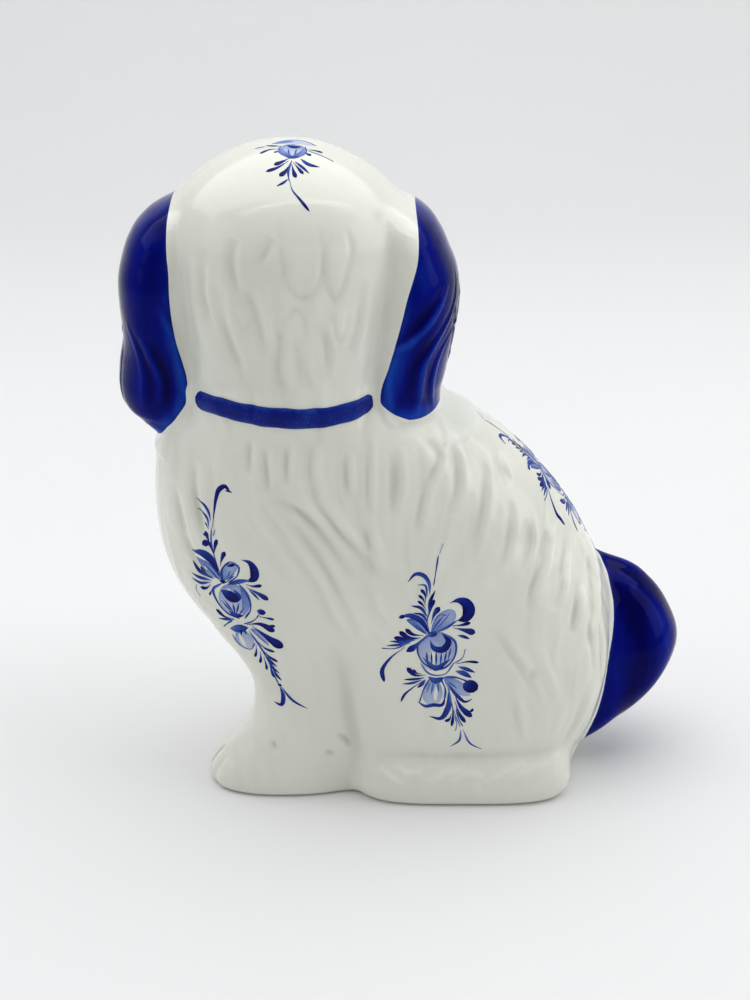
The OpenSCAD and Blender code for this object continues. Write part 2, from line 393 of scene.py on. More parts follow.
def foreleg_field(name, side):
    """A paw, and a leg that leans back into the chest."""
    toe = node_box(name)[0][0]
    middle = MIDDLE_Y + side * FORELEG_OUT
    # height, front and back behind the toe, half depth
    course = [
        [-8, 2, 66, 19], [0, 1.5, 67, 20], [5, 0, 67, 20.5], [10, 2.5, 66, 20.5], [18, 9.5, 64, 19.5],
        [28, 18.5, 62, 18.5], [42, 23, 60, 18], [56, 22.5, 58, 18], [68, 17.5, 54, 17.5],
        [84, 7, 46, 15.5], [108, -3, 26, 6],
    ]
    return loft([[z, toe + front, toe + back, middle, half, 2.4] for z, front, back, half in course])


def hind_foot_field(name, side):
    """A long low foot along the base, under a ledge."""
    low, high = node_box(name)
    middle = MIDDLE_Y + side * HIND_FOOT_OUT
    toe, heel = min(low[0], -6.5), high[0]
    # height, inset at the toe, inset at the heel, half depth
    course = [
        [-8, 1, 1, 22.4], [0, 1, 1, 22.8], [5, -1.5, -2, 24], [13, -1.5, -2, 24], [19, 0, 0, 22.8],
        [23, 3, 3, 19.5], [26, 10, 11, 12],
    ]
    return loft([[z, toe + front, heel - back, middle, half, 3.6] for z, front, back, half in course])


def toe_grooves(field, name, side):
    """Grooves part the toes at the front of a paw."""
    toe = node_box(name)[0][0]
    for k in (-1, 0, 1):
        y = MIDDLE_Y + side * FORELEG_OUT + k * 9.5
        field = carve(field, egg((toe + 1.5, y, 9), (10, 1.5, 9)), 3)
    return field


def build_fields():
    """Every form of the figurine: the parts that get their own glaze stay apart, to find their borders."""
    torso = torso_field()
    for side in (-1, 1):
        torso = melt(torso, haunch_field(side), 16)
    head = face_field(head_field())
    fields = {"torso": torso, "head": head}
    for name, side in (("left_foreleg", -1), ("right_foreleg", 1)):
        fields[name] = toe_grooves(foreleg_field(name, side), name, side)
    for name, side in (("left_hind_foot", -1), ("right_hind_foot", 1)):
        fields[name] = hind_foot_field(name, side)
    fields["left_ear"] = ear_field("left_ear", -1)
    fields["right_ear"] = ear_field("right_ear", 1)
    fields["tail"] = tail_field()
    return fields


# how far the clay is smeared where each form meets the others
FILLETS = {
    "head": 9, "left_foreleg": 9, "right_foreleg": 9, "left_hind_foot": 5, "right_hind_foot": 5,
    "left_ear": 7, "right_ear": 9, "tail": 3,
}
# height at which the outline of the base is taken, the width of its foot ring, how deep the closing
# plate is set back in it, and how high the plate and its vent reach
OUTLINE_Z = 3
FOOT_RING = 7
RECESS = 2.2
PLATE_TOP = 9
VENT_TOP = 8


def melted(fields):
    """All forms as one, cut level at the resting face, with the base plate set back inside a foot ring."""
    whole = fields["torso"]
    for name, reach in FILLETS.items():
        whole = melt(whole, fields[name], reach)
    whole = blurred(whole.copy())
    level = int(round(OUTLINE_Z / VOXEL)) - int(GRID_LOW[2])
    outline = whole[:, :, level:level + 1]
    recess = np.maximum(outline + FOOT_RING, GRID_Z - RECESS)
    vent = np.hypot(GRID_X - VENT[0], GRID_Y - VENT[1]) - VENT[2]
    fields["base_plate"] = np.maximum(outline + FOOT_RING - 0.8, GRID_Z - PLATE_TOP)
    whole = carve(whole, (GRID_Z + 0 * whole).astype(np.float32), 3)
    whole = carve(whole, recess.astype(np.float32), 1.5)
    return carve(whole, np.maximum(vent, GRID_Z - VENT_TOP).astype(np.float32), 1.0)


# ---------------------------------------------------------------- from the field to a mesh


def polygonised(field):
    """Points and triangles, facing out, of the surface where a field is zero."""
    grid = vdb.FloatGrid(float(BAND))
    grid.copyFromArray(np.ascontiguousarray(field), ijk=tuple(int(v) for v in GRID_LOW))
    points, triangles, quads = grid.convertToPolygons(0.0, adaptivity=0.0)
    points = np.array(points, float) * VOXEL
    tris = [np.array(triangles, int).reshape(-1, 3)]
    quads = np.array(quads, int).reshape(-1, 4)
    tris += [quads[:, [0, 1, 2]], quads[:, [0, 2, 3]]]
    tris = np.concatenate(tris)
    if volume_of(points, tris) < 0:
        tris = tris[:, ::-1]
    return points, tris


def volume_of(points, tris):
    a, b, c = (points[tris[:, k]] for k in range(3))
    return np.einsum("ij,ij->i", a, np.cross(b, c)).sum() / 6


def point_normals(points, tris):
    a, b, c = (points[tris[:, k]] for k in range(3))
    face = np.cross(b - a, c - a)
    normal = np.zeros_like(points)
    for k in range(3):
        for axis in range(3):
            normal[:, axis] += np.bincount(tris[:, k], face[:, axis], minlength=len(points))
    return normal / (np.linalg.norm(normal, axis=1, keepdims=True) + 1e-12)


def split(tris, values, extra):
    """Cuts triangles where values change sign, into those with values above zero and those below.

    extra is a dict of arrays with a row for each point. They grow by the points of the cut.
    """
    positive = values > 0
    count = positive[tris].sum(axis=1)
    above, below = [tris[count == 3]], [tris[count == 0]]
    new_points = {}
    size = len(values)
    edges_a, edges_b = [], []

    def cut(i, j):
        key = (i, j) if i < j else (j, i)
        if key not in new_points:
            new_points[key] = size + len(edges_a)
            edges_a.append(key[0])
            edges_b.append(key[1])
        return new_points[key]

    for wanted, lone, rest in ((1, above, below), (2, below, above)):
        some = tris[count == wanted]
        flags = positive[some] if wanted == 1 else ~positive[some]
        turn = flags.argmax(axis=1)
        some = np.stack([some[np.arange(len(some)), (turn + k) % 3] for k in range(3)], axis=1)
        lone_list, rest_list = [], []
        for a, b, c in some.tolist():
            p, q = cut(a, b), cut(a, c)
            lone_list.append((a, p, q))
            rest_list.append((p, b, c))
            rest_list.append((p, c, q))
        lone.append(np.array(lone_list, int).reshape(-1, 3))
        rest.append(np.array(rest_list, int).reshape(-1, 3))
    a, b = np.array(edges_a, int), np.array(edges_b, int)
    if len(a):
        t = values[a] / (values[a] - values[b])
        for key, array in extra.items():
            w = t.reshape([-1] + [1] * (array.ndim - 1))
            extra[key] = np.concatenate([array, array[a] * (1 - w) + array[b] * w])
    return np.concatenate(above), np.concatenate(below)


def walled(points, normals, tris, wall):
    """Closes an open skin into a piece of clay: an inner skin one wall inside it, and rims at its edges."""
    used, flat = np.unique(tris, return_inverse=True)
    tris = flat.reshape(-1, 3)
    count = len(used)
    skin = points[used]
    inner = skin - normals[used] * wall
    edges = np.concatenate([tris[:, [0, 1]], tris[:, [1, 2]], tris[:, [2, 0]]])
    key = np.sort(edges, axis=1)
    _, index, number = np.unique(key, axis=0, return_index=True, return_counts=True)
    rim = edges[index[number == 1]]
    rim_tris = np.concatenate([
        np.stack([rim[:, 1], rim[:, 0], rim[:, 0] + count], axis=1),
        np.stack([rim[:, 1], rim[:, 0] + count, rim[:, 1] + count], axis=1),
    ])
    return np.concatenate([skin, inner]), np.concatenate([tris, tris[:, ::-1] + count, rim_tris]), used


def make_object(name, points, faces, material, nodes, normals=None, extras=None):
    """A Blender object in metres which rides on the figurine and stands for the named CAD nodes."""
    mesh = bpy.data.meshes.new(name)
    mesh.from_pydata((np.asarray(points) * MM).tolist(), [], [list(map(int, f)) for f in faces])
    mesh.update()
    mesh.polygons.foreach_set("use_smooth", [True] * len(mesh.polygons))
    for key, values in (extras or {}).items():
        attribute = mesh.attributes.new(key, "FLOAT", "POINT")
        attribute.data.foreach_set("value", np.asarray(values, np.float32))
    if normals is not None:
        mesh.normals_split_custom_set_from_vertices(np.asarray(normals).tolist())
    mesh.materials.append(material)
    obj = bpy.data.objects.new(name, mesh)
    bpy.context.scene.collection.objects.link(obj)
    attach(obj, "root")
    if nodes:
        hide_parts(*nodes)


# ---------------------------------------------------------------- fur and other tooling

# Courses of the main locks, as (x, z) points from the top down, on both flanks and the nape. Those of the
# body that have two points are single cuts of the tool.
HEAD_LOCKS = [
    [(-43, 269), (-45, 264), (-49, 257)],
    [(-66, 250), (-64, 232), (-58, 212)],
    [(-54, 249), (-49, 234), (-47, 219)],
    [(-39, 228), (-41, 214), (-40, 204)],
    [(-24, 234), (-21, 220), (-22, 206)],
    [(-5, 250), (-7, 232), (-11, 214)],
    [(-58, 268), (-60, 258), (-58, 246)],
    [(-72, 262), (-74, 244), (-70, 226)],
    [(-31, 222), (-31, 212), (-29, 203)],
]
# outlines of the plump locks on the back of the head
HEAD_LOBES = [
    [
        (-40, 276), (-40, 267), (-38, 257), (-36, 249), (-31, 244), (-26, 246), (-23, 253), (-22, 264),
        (-24, 274),
    ],
    [
        (-18, 271), (-20, 265), (-21, 257), (-20, 248), (-17, 243), (-14, 247), (-12, 254), (-10, 264),
        (-12, 271),
    ],
    [(-43, 235), (-40, 227), (-37, 236), (-33, 239), (-30, 234), (-31, 222)],
    [(-19, 237), (-15, 224), (-11, 236)],
    [(-58, 238), (-55, 230), (-51, 236)],
]
BODY_LOCKS = [
    [(-54, 180), (-55, 164)], [(-48, 176), (-47, 156)], [(-28, 178), (-28, 163), (-25, 153)],
    [(-3, 179), (-3, 146)], [(8, 174), (9, 158), (7, 145)], [(-13, 174), (-12, 153)],
    [(-38, 178), (-39, 160)],
    [(-44, 153), (-31, 146), (-19, 131), (-10, 116)], [(-29, 159), (-22, 146), (-8, 129), (-1, 117)],
    [(-47, 143), (-36, 127), (-27, 114), (-20, 97), (-11, 83)],
    [(-38, 144), (-27, 129), (-17, 111), (-12, 99), (-7, 87)],
    [(-4, 141), (-2, 127), (1, 118)], [(-4, 112), (-1, 101), (5, 93)],
    [(20, 178), (28, 168), (24, 161), (20, 149), (18, 138)], [(28, 176), (35, 167), (36, 157), (33, 144)],
    [(39, 171), (47, 163), (48, 151), (45, 134), (42, 121)], [(54, 163), (61, 152)],
    [(59, 146), (60, 134), (56, 121), (51, 112)], [(69, 137), (69, 126), (64, 116)],
    [(77, 130), (75, 118), (70, 107), (68, 99)], [(87, 123), (85, 111), (81, 98)],
    [(93, 107), (91, 96), (88, 86)], [(98, 113), (100, 98), (97, 77)],
    [(51, 93), (61, 79), (70, 63), (75, 52)], [(63, 56), (67, 32)],
    [(-90, 150), (-86, 128), (-74, 104)], [(-80, 165), (-80, 146), (-76, 128)],
    [(-58, 100), (-48, 74), (-44, 48)], [(22, 84), (24, 58), (26, 34)], [(98, 60), (94, 40), (86, 22)],
]
# thin cuts of the tool beside the tail
RUMP_CUTS = [[(97, 91), (98.5, 78), (100, 65)], [(102, 95), (104.5, 75), (105.5, 54)]]
# the groove under the ledge over the hind foot, and the one between the foreleg and the thigh
LEDGE = [(-3, 25), (20, 25.8), (50, 26), (84, 25.5)]
CREASE = [(-20, 84), (-14, 66), (-12, 46), (-10, 30), (-9, 8)]
# small dents left by handling the wet clay
SCARS = [
    [(-18, 34), (-14, 31), (-12, 27)], [(-23, 24), (-19, 22)], [(-48, 29), (-46, 25)], [(70, 72), (72, 66)],
]
# ridges that slant over the hind foot
FOOT_WAVES = [
    [(2, 20), (8, 15), (13, 12)], [(9, 22), (14, 18), (22, 20)], [(24, 12), (32, 18), (42, 21)],
    [(34, 13), (42, 18), (50, 17)], [(50, 12), (58, 18), (70, 22)], [(62, 14), (70, 19), (80, 21)],
]


class Relief:
    """Height, in millimetres, that tooling adds to each point of the skin."""

    def __init__(self, points, normals):
        self.points = points
        self.flat = points[:, [0, 2]]
        self.height = np.zeros(len(points))
        self.sides = {
            -1: np.clip(-normals[:, 1] * 2.5, 0, 1) * (points[:, 1] < MIDDLE_Y),
            1: np.clip(normals[:, 1] * 2.5, 0, 1) * (points[:, 1] > MIDDLE_Y),
        }
        from_face = np.hypot(points[:, 0] - HEAD_X, points[:, 2] - (CROWN_Z - 68))
        self.sides[1] *= np.where(points[:, 2] > NECK_Z, np.clip((from_face - 27) / 10, 0, 1), 1)

    def stroke(self, path, width, height, sides=(-1, 1)):
        """A tapering groove (height below 0) or ridge. Its course is (x, z) on both flanks, or (x, y, z)."""
        course, share = curve_points(path)
        solid = course.shape[1] == 3
        if solid:
            course = self.points[[((self.points - spot) ** 2).sum(1).argmin() for spot in course]]
            for _ in range(4):
                course[1:-1] = course[1:-1] * 0.5 + (course[:-2] + course[2:]) * 0.25
        spots = self.points if solid else self.flat
        reach = 2.6 * width
        low, high = course.min(0) - reach, course.max(0) + reach
        near = np.flatnonzero(((spots > low) & (spots < high)).all(1))
        if not len(near):
            return
        spot = spots[near]
        best = np.full(len(near), 1e9)
        along = np.zeros(len(near))
        for a, b, t in zip(course[:-1], course[1:], share[:-1]):
            step = b - a
            u = np.clip(((spot - a) @ step) / (step @ step), 0, 1)
            away = ((spot - a - u[:, None] * step) ** 2).sum(1)
            closer = away < best
            best = np.where(closer, away, best)
            along = np.where(closer, t + u * (share[1] - share[0]), along)
        taper = np.sin(math.pi * np.clip(along, 0.0, 1)) ** 0.55
        bump = height * np.exp(-best / width**2) * taper
        if solid:
            self.height[near] += bump
        else:
            for side in sides:
                self.height[near] += bump * self.sides[side][near]


def lock_flow(locks):
    """Middle points and directions of the locks, which the finer hair follows."""
    places, ways = [], []
    for path in locks:
        course, _ = curve_points(path, spacing=5)
        places.append((course[:-1] + course[1:]) / 2)
        ways.append(np.diff(course, axis=0))
    ways = np.concatenate(ways)
    return np.concatenate(places), ways / np.linalg.norm(ways, axis=1, keepdims=True)


def hair(relief, locks, low, high, spacing, rng, sizes, strength):
    """Fine strands over a patch from low to high, each one growing along the locks near it."""
    places, ways = lock_flow(locks)
    length, width, depth = sizes
    for z in np.arange(low[1], high[1], spacing * 1.7):
        for x in np.arange(low[0], high[0], spacing):
            spot = np.array([x, z]) + rng.uniform(-0.5, 0.5, 2) * spacing
            path = [spot]
            for _ in range(5):
                weight = np.exp(-((places - path[-1]) ** 2).sum(1) / 13**2) + 1e-9
                way = (ways * weight[:, None]).sum(0)
                path.append(path[-1] + way / np.linalg.norm(way) * length * rng.uniform(0.7, 1.3) / 5)
            sign = -1 if rng.uniform() < 0.5 else 0.9
            swell = sign * depth * rng.uniform(0.2, 1.2) * strength(*path[2])
            relief.stroke(path, width * rng.uniform(0.7, 1.4), swell)


def body_strength(x, z):
    """Fur is deep on the shoulders, back and rump, and nearly smoothed away on the thigh and the paws."""
    back = float(np.clip((z - 92) / 45, 0, 1))
    rump = float(np.clip((x - 52) / 25, 0, 1)) * float(np.clip((z - 25) / 30, 0, 1))
    chest = 0.7 * float(np.clip((-42 - x) / 25, 0, 1))
    return 0.3 + 0.7 * max(back, rump, chest)


def head_strength(_, z):
    """The crown is smooth, and fur starts half way down the back of the head."""
    return float(np.clip((262 - z) / 22, 0.05, 1))


# Crests of the flutes on the ears: depth, and an (x, y, z) course on the side of the back of the head.
EAR_CRESTS = {
    "left_ear": [
        (0.9, [(-101, -31, 223), (-98, -31, 214), (-95, -30, 207), (-94, -28, 199), (-95, -26, 191)]),
        (0.7, [(-109, -24, 226), (-106, -28, 219), (-103, -30, 211), (-101, -29, 200), (-101, -26, 188)]),
        (0.5, [(-94, -32, 238), (-91, -31, 229), (-88, -29, 220), (-86, -27, 210)]),
        (0.6, [(-113, -3, 228), (-112, -9, 213), (-112, -12, 200), (-108, -12, 184)]),
        (0.6, [(-112, 14, 230), (-112, 8, 215), (-113, 5, 202), (-110, 4, 186)]),
    ],
    "right_ear": [
        (1.2, [(30, -26, 244), (27, -29, 239), (21, -32, 228), (14, -31, 218), (9, -28, 214)]),
        (1.1, [
            (34, -10, 246), (32, -18, 236), (29, -26, 227), (24, -30, 219), (20, -31, 212), (18, -31, 202),
            (17, -31, 188),
        ]),
        (1.0, [
            (36, -5, 238), (34, -10, 228), (31, -21, 220), (28, -26, 214), (25, -28, 207), (24, -28, 198),
            (24, -22, 187),
        ]),
        (0.6, [(12, -31, 213), (8, -31, 205), (7, -31, 197), (8, -31, 187)]),
        (0.8, [(36, 10, 238), (35, 2, 222), (33, -6, 208), (29, -10, 190)]),
        (0.8, [(36, 22, 234), (35, 16, 221), (33, 9, 207), (31, 6, 190)]),
    ],
}


def ear_waves(relief, name, side):
    """Flutes with sharp crests sweep down each ear, the same on its two faces."""
    for depth, course in EAR_CRESTS[name]:
        crest = np.array(course, float)
        valley = crest - [side * 3.2, 0, 1]
        for face in (1, -1):
            turn, shift = [1, face, 1], [0, 1 - face, 0]
            relief.stroke(crest * turn + shift, 1.5, depth)
            relief.stroke(valley * turn + shift, 2.8, -0.7 * depth)


def ear_edge(relief, name):
    """An ear stands over the head and the neck with a crisp edge, which fades away at its top."""
    x, y, z = relief.points.T
    inside = inside_border(name, x, z)
    step = np.clip((inside + 0.6) / 2.0, 0, 1)
    fade = np.clip((262 - z) / 45, 0.1, 1)
    near = (np.abs(inside) < 9) & (np.abs(y) < 45)
    relief.height += np.where(near, 1.1 * fade * step * np.clip((9 - inside) / 7, 0, 1), 0)


def tail_flutes(relief, fields):
    """Shallow waving flutes fan out over the tail."""
    root = node_box("tail")[0][0]
    x, y, z = relief.points.T
    turn = np.arctan2(y - 10, x - root + 20)
    near = np.clip(1 - (sample(fields["tail"], relief.points) - 0.5) / 3, 0, 1)
    clear = np.clip((x - root - 8) / 12, 0, 1)
    relief.height += 0.35 * near * np.sin(turn * 17 + 1.4 * np.sin(z / 17)) * clear


def tooled(points, normals, fields):
    """The relief of the whole figurine. Every stroke has a width and a height, in millimetres."""
    relief = Relief(points, normals)
    rng = np.random.default_rng(SEED)
    for path in HEAD_LOCKS:
        relief.stroke(path, 2.6, -0.75)
        relief.stroke([(x + 3.6, z) for x, z in path], 1.6, 0.45)
    for path in HEAD_LOBES:
        relief.stroke(path, 1.5, -0.6, sides=(-1,))
        middle = np.mean(path, axis=0)
        relief.stroke([middle + [0, 7], middle - [0, 7]], 5, 0.4, sides=(-1,))
    for path in BODY_LOCKS:
        strength = body_strength(*np.mean(path, axis=0))
        width = 1.7 if len(path) == 2 else 2.4
        relief.stroke(path, width, -0.95 * strength)
        beside = [(x + 1.6 * width, z + 1) for x, z in path]
        relief.stroke(beside, 0.75 * width, 0.75 * strength)
    for path in RUMP_CUTS:
        relief.stroke(path, 1.2, -0.8)
    relief.stroke(CREASE, 4.6, -1.0)
    relief.stroke(LEDGE, 2.4, -0.6)
    for path in FOOT_WAVES:
        relief.stroke(path, 1.5, 1.0)
    for path in SCARS:
        relief.stroke(path, 1.6, -1.0)
    hair(relief, HEAD_LOCKS, (-84, 200), (10, 276), 6.0, rng, (22, 2.0, 0.32), head_strength)
    hair(relief, BODY_LOCKS, (-98, 22), (108, 182), 7.0, rng, (22, 1.7, 0.4), body_strength)
    for name, side in (("left_ear", -1), ("right_ear", 1)):
        ear_waves(relief, name, side)
        ear_edge(relief, name)
    tail_flutes(relief, fields)
    relief.height *= np.clip(points[:, 2] / 4, 0, 1)
    return relief.height


# ---------------------------------------------------------------- glazes


class Glaze:
    """A material in the making: its nodes, and short ways to add them and link them."""

    def __init__(self, name):
        self.material = bpy.data.materials.new(name)
        self.material.use_nodes = True
        self.nodes = self.material.node_tree.nodes
        self.links = self.material.node_tree.links
        self.nodes.clear()
        output = self.nodes.new("ShaderNodeOutputMaterial")
        self.shader = self.nodes.new("ShaderNodeBsdfPrincipled")
        self.links.new(self.shader.outputs[0], output.inputs[0])

    def feed(self, socket, value):
        """Sets a socket to a number or a colour, or links it to the output of another node."""
        if isinstance(value, (int, float)):
            socket.default_value = value
        elif isinstance(value, tuple):
            socket.default_value = (*value, 1)
        else:
            self.links.new(value, socket)

    def look(self, **settings):
        """Inputs of the shader by name, with _ for each space."""
        for name, value in settings.items():
            self.feed(self.shader.inputs[name.replace("_", " ")], value)

    def object_place(self):
        return self.nodes.new("ShaderNodeTexCoord").outputs["Object"]

    def noise(self, scale, detail=3, stretch=None):
        texture = self.nodes.new("ShaderNodeTexNoise")
        texture.inputs["Scale"].default_value = scale
        texture.inputs["Detail"].default_value = detail
        source = self.object_place()
        if stretch:
            mapping = self.nodes.new("ShaderNodeMapping")
            mapping.inputs["Scale"].default_value = stretch
            self.links.new(source, mapping.inputs["Vector"])
            source = mapping.outputs["Vector"]
        self.links.new(source, texture.inputs["Vector"])
        return texture.outputs["Fac"]

    def ramp(self, source, stops):
        """Colours by value: stops are (place, colour)."""
        node = self.nodes.new("ShaderNodeValToRGB")
        elements = node.color_ramp.elements
        while len(elements) > 1:
            elements.remove(elements[-1])
        for i, (place, colour) in enumerate(stops):
            element = elements[0] if i == 0 else elements.new(place)
            element.position = place
            element.color = (*colour, 1)
        self.links.new(source, node.inputs["Fac"])
        return node.outputs["Color"]

    def math(self, operation, *values):
        node = self.nodes.new("ShaderNodeMath")
        node.operation = operation
        for socket, value in zip(node.inputs, values):
            self.feed(socket, value)
        return node.outputs[0]

    def mixed(self, factor, a, b, mode="MIX"):
        """Two colours mixed. These sockets are the colour ones of the node's many."""
        node = self.nodes.new("ShaderNodeMix")
        node.data_type = "RGBA"
        node.blend_type = mode
        for number, value in ((0, factor), (6, a), (7, b)):
            self.feed(node.inputs[number], value)
        return node.outputs[2]

    def attribute(self, name):
        node = self.nodes.new("ShaderNodeAttribute")
        node.attribute_name = name
        return node.outputs["Fac"]

    def bump(self, height, strength, distance):
        node = self.nodes.new("ShaderNodeBump")
        node.inputs["Strength"].default_value = strength
        node.inputs["Distance"].default_value = distance
        self.links.new(height, node.inputs["Height"])
        self.look(Normal=node.outputs["Normal"])

    def specks(self):
        """1 on small kiln specks, which are far apart."""
        cells = self.nodes.new("ShaderNodeTexVoronoi")
        cells.inputs["Scale"].default_value = 42
        self.links.new(self.object_place(), cells.inputs["Vector"])
        speck = self.math("LESS_THAN", cells.outputs["Distance"], 0.02)
        return self.math("MULTIPLY", speck, self.math("GREATER_THAN", self.noise(31), 0.6))

    def ranged(self, source, low, high):
        """A value from 0 to 1 stretched between low and high."""
        node = self.nodes.new("ShaderNodeMapRange")
        node.inputs["To Min"].default_value = low
        node.inputs["To Max"].default_value = high
        self.links.new(source, node.inputs["Value"])
        return node.outputs[0]


def white_glaze():
    """Tin-white glaze: warmer and greyer in the grooves of the tooling, partly where the glaze pools and
    partly painted shade, with a few kiln specks.
    """
    glaze = Glaze("white_glaze")
    # darker and greyer in the grooves of the tooling and lightest on its ridges: partly glaze that pools in
    # the grooves, partly painted shade
    glaze_pool_and_shade = glaze.ramp(glaze.attribute("relief"), [
        (0.0, (0.54, 0.55, 0.46)), (0.36, (0.78, 0.79, 0.70)), (0.6, (0.83, 0.84, 0.76)),
        (1.0, (0.87, 0.88, 0.81)),
    ])
    cloud = glaze.ramp(glaze.noise(22), [(0.35, (0.955, 0.96, 0.955)), (0.7, (1.0, 1.0, 1.0))])
    body = glaze.mixed(1.0, glaze_pool_and_shade, cloud, "MULTIPLY")
    glaze.look(
        Base_Color=glaze.mixed(glaze.specks(), body, (0.12, 0.11, 0.10)),
        Roughness=glaze.ranged(glaze.noise(55), 0.08, 0.2),
        IOR=1.52,
    )
    glaze.bump(glaze.noise(130, 4), 0.16, 0.0006)
    return glaze.material


def cobalt_glaze():
    """Brushed cobalt under a clear glaze: nearly black where it lies thick, darker in the grooves and lighter
    blue on the ridges of the tooling, partly as thicker and thinner cobalt and partly as painted shade, and
    paler blue at the edges of its area.
    """
    glaze = Glaze("cobalt_glaze")
    streak = glaze.noise(60, 5, (1.0, 1.0, 0.16))
    # lighter on the ridges of the tooling and darker in its grooves: partly thinner and thicker cobalt,
    # partly painted shade
    height = glaze.math("MULTIPLY", glaze.attribute("relief"), 0.55)
    tone = glaze.math("ADD", glaze.math("MULTIPLY", streak, 0.45), height)
    tone = glaze.math("ADD", tone, glaze.math("MULTIPLY", glaze.noise(18, 3), 0.25))
    colour = glaze.ramp(tone, [
        (0.38, (0.0001, 0.0001, 0.028)), (0.55, (0.0001, 0.0003, 0.08)), (0.70, (0.0008, 0.005, 0.20)),
        (0.92, (0.008, 0.06, 0.44)),
    ])
    rim = glaze.ramp(glaze.attribute("edge"), [(0.0, (1, 1, 1)), (0.5, (0, 0, 0))])
    colour = glaze.mixed(glaze.math("MULTIPLY", rim, 0.4), colour, (0.004, 0.03, 0.30))
    glaze.look(Base_Color=colour, Roughness=0.07, IOR=1.38, Specular_IOR_Level=0.08)
    glaze.bump(streak, 0.22, 0.0008)
    return glaze.material


def painted_cobalt():
    """Cobalt laid on with a brush, whose hairs leave streaks. Thin washes let the white through."""
    glaze = Glaze("painted_cobalt")
    hairs, cloud = glaze.noise(900, 2), glaze.noise(160, 2)
    tone = glaze.math("ADD", glaze.attribute("tone"), glaze.math("MULTIPLY", hairs, 0.16))
    tone = glaze.math("ADD", tone, glaze.math("MULTIPLY", cloud, 0.2))
    colour = glaze.ramp(glaze.math("SUBTRACT", tone, 0.18), [
        (0.0, (0.0008, 0.002, 0.09)), (0.14, (0.004, 0.014, 0.21)), (0.32, (0.022, 0.07, 0.36)),
        (0.55, (0.13, 0.21, 0.52)), (0.8, (0.36, 0.44, 0.66)), (1.0, (0.58, 0.62, 0.71)),
    ])
    glaze.look(Base_Color=colour, Roughness=0.12, IOR=1.38, Specular_IOR_Level=0.16)
    glaze.bump(cloud, 0.08, 0.0004)
    return glaze.material


def biscuit():
    """Unglazed clay of the closing plate, rubbed by the shelf it stands on."""
    glaze = Glaze("biscuit")
    grain = glaze.noise(240, 6)
    colour = glaze.ramp(grain, [(0.3, (0.60, 0.56, 0.50)), (0.7, (0.76, 0.73, 0.67))])
    worn = glaze.ramp(glaze.noise(30), [(0.45, (1, 1, 1)), (0.75, (0.82, 0.80, 0.76))])
    glaze.look(Base_Color=glaze.mixed(1.0, colour, worn, "MULTIPLY"), Roughness=0.82)
    glaze.bump(grain, 0.5, 0.0006)
    return glaze.material


def pale_sheet():
    """Matt paper, nearly even."""
    glaze = Glaze("pale_sheet")
    shade = glaze.ramp(glaze.noise(1.2), [(0.3, (0.80, 0.805, 0.81)), (0.7, (0.83, 0.832, 0.835))])
    glaze.look(Base_Color=shade, Roughness=0.55)
    return glaze.material


# ---------------------------------------------------------------- the pieces

# thickness of the walls of clay
WALL = 1.2
# forms that are cut out of the skin where they lie nearer to it than any other form
CUT_FORMS = (
    "left_ear", "right_ear", "tail", "left_foreleg", "right_foreleg", "left_hind_foot", "right_hind_foot",
)
# the node, glaze and slot of a piece, where they aren't its own name, the white glaze and the glaze's name
CAD_NODES = {"head": "head_shell", "body": "body_shell"}
PIECE_LOOKS = {
    "left_ear": "cobalt_glaze", "right_ear": "cobalt_glaze", "tail": "cobalt_glaze", "base_plate": "biscuit",
}


def border_values(fields, points):
    """How far each point lies inside the form that gives it its glaze, against all other forms."""
    at = {name: sample(field, points) for name, field in fields.items() if name != "base_plate"}
    values = {"base_plate": -sample(fields["base_plate"], points)}
    for name in CUT_FORMS:
        rest = np.min([at[other] for other in at if other != name], axis=0)
        values[name] = rest - at[name]
    # an ear's paint ends at its border, and where the ear lies on the head it runs on over the head to it
    for name, free in EAR_FREE.items():
        slack = 1.0 + 9 * np.clip((points[:, 2] - free) / 12, 0, 1)
        painted = inside_border(name, points[:, 0], points[:, 2])
        values[name] = np.minimum(values[name] + slack, painted)
    values["head"] = points[:, 2] - NECK_Z
    return values


def make_clay(name, tris, extra, materials):
    """One piece of clay, with its relief and the way to its edge for its glaze."""
    shell, faces, used = walled(extra["points"], extra["normals"], tris, WALL)
    normals = extra["normals"][used]
    normals = normals / np.linalg.norm(normals, axis=1, keepdims=True)
    relief = extra["relief"][used]
    edge = np.clip(extra[name][used] / 3, 0, 1) if name in extra else np.ones(len(used))
    look = PIECE_LOOKS.get(name, "white_glaze")
    make_object(
        name + "_clay", shell, faces, materials[look],
        [CAD_NODES.get(name, name)], normals=np.concatenate([normals, -normals]),
        extras={"relief": np.concatenate([relief, relief]), "edge": np.concatenate([edge, edge])},
    )


def clay_pieces(fields, materials):
    """Cuts the melted skin into its pieces of clay, and returns the whole skin for what lies on it."""
    points, tris = polygonised(melted(fields))
    normals = point_normals(points, tris)
    height = tooled(points, normals, fields)
    points = points + normals * height[:, None]
    points[:, 2] = np.maximum(points[:, 2], 0)
    skin = Skin(points, tris)
    values = border_values(fields, points)
    extra = {
        "points": points, "normals": skin.normals, "relief": np.clip(0.5 + height / 3.0, 0, 1), **values,
    }
    for name in values:
        mine, tris = split(tris, extra[name], extra)
        make_clay(name, mine, extra, materials)
    make_clay("body", tris, extra, materials)
    return skin


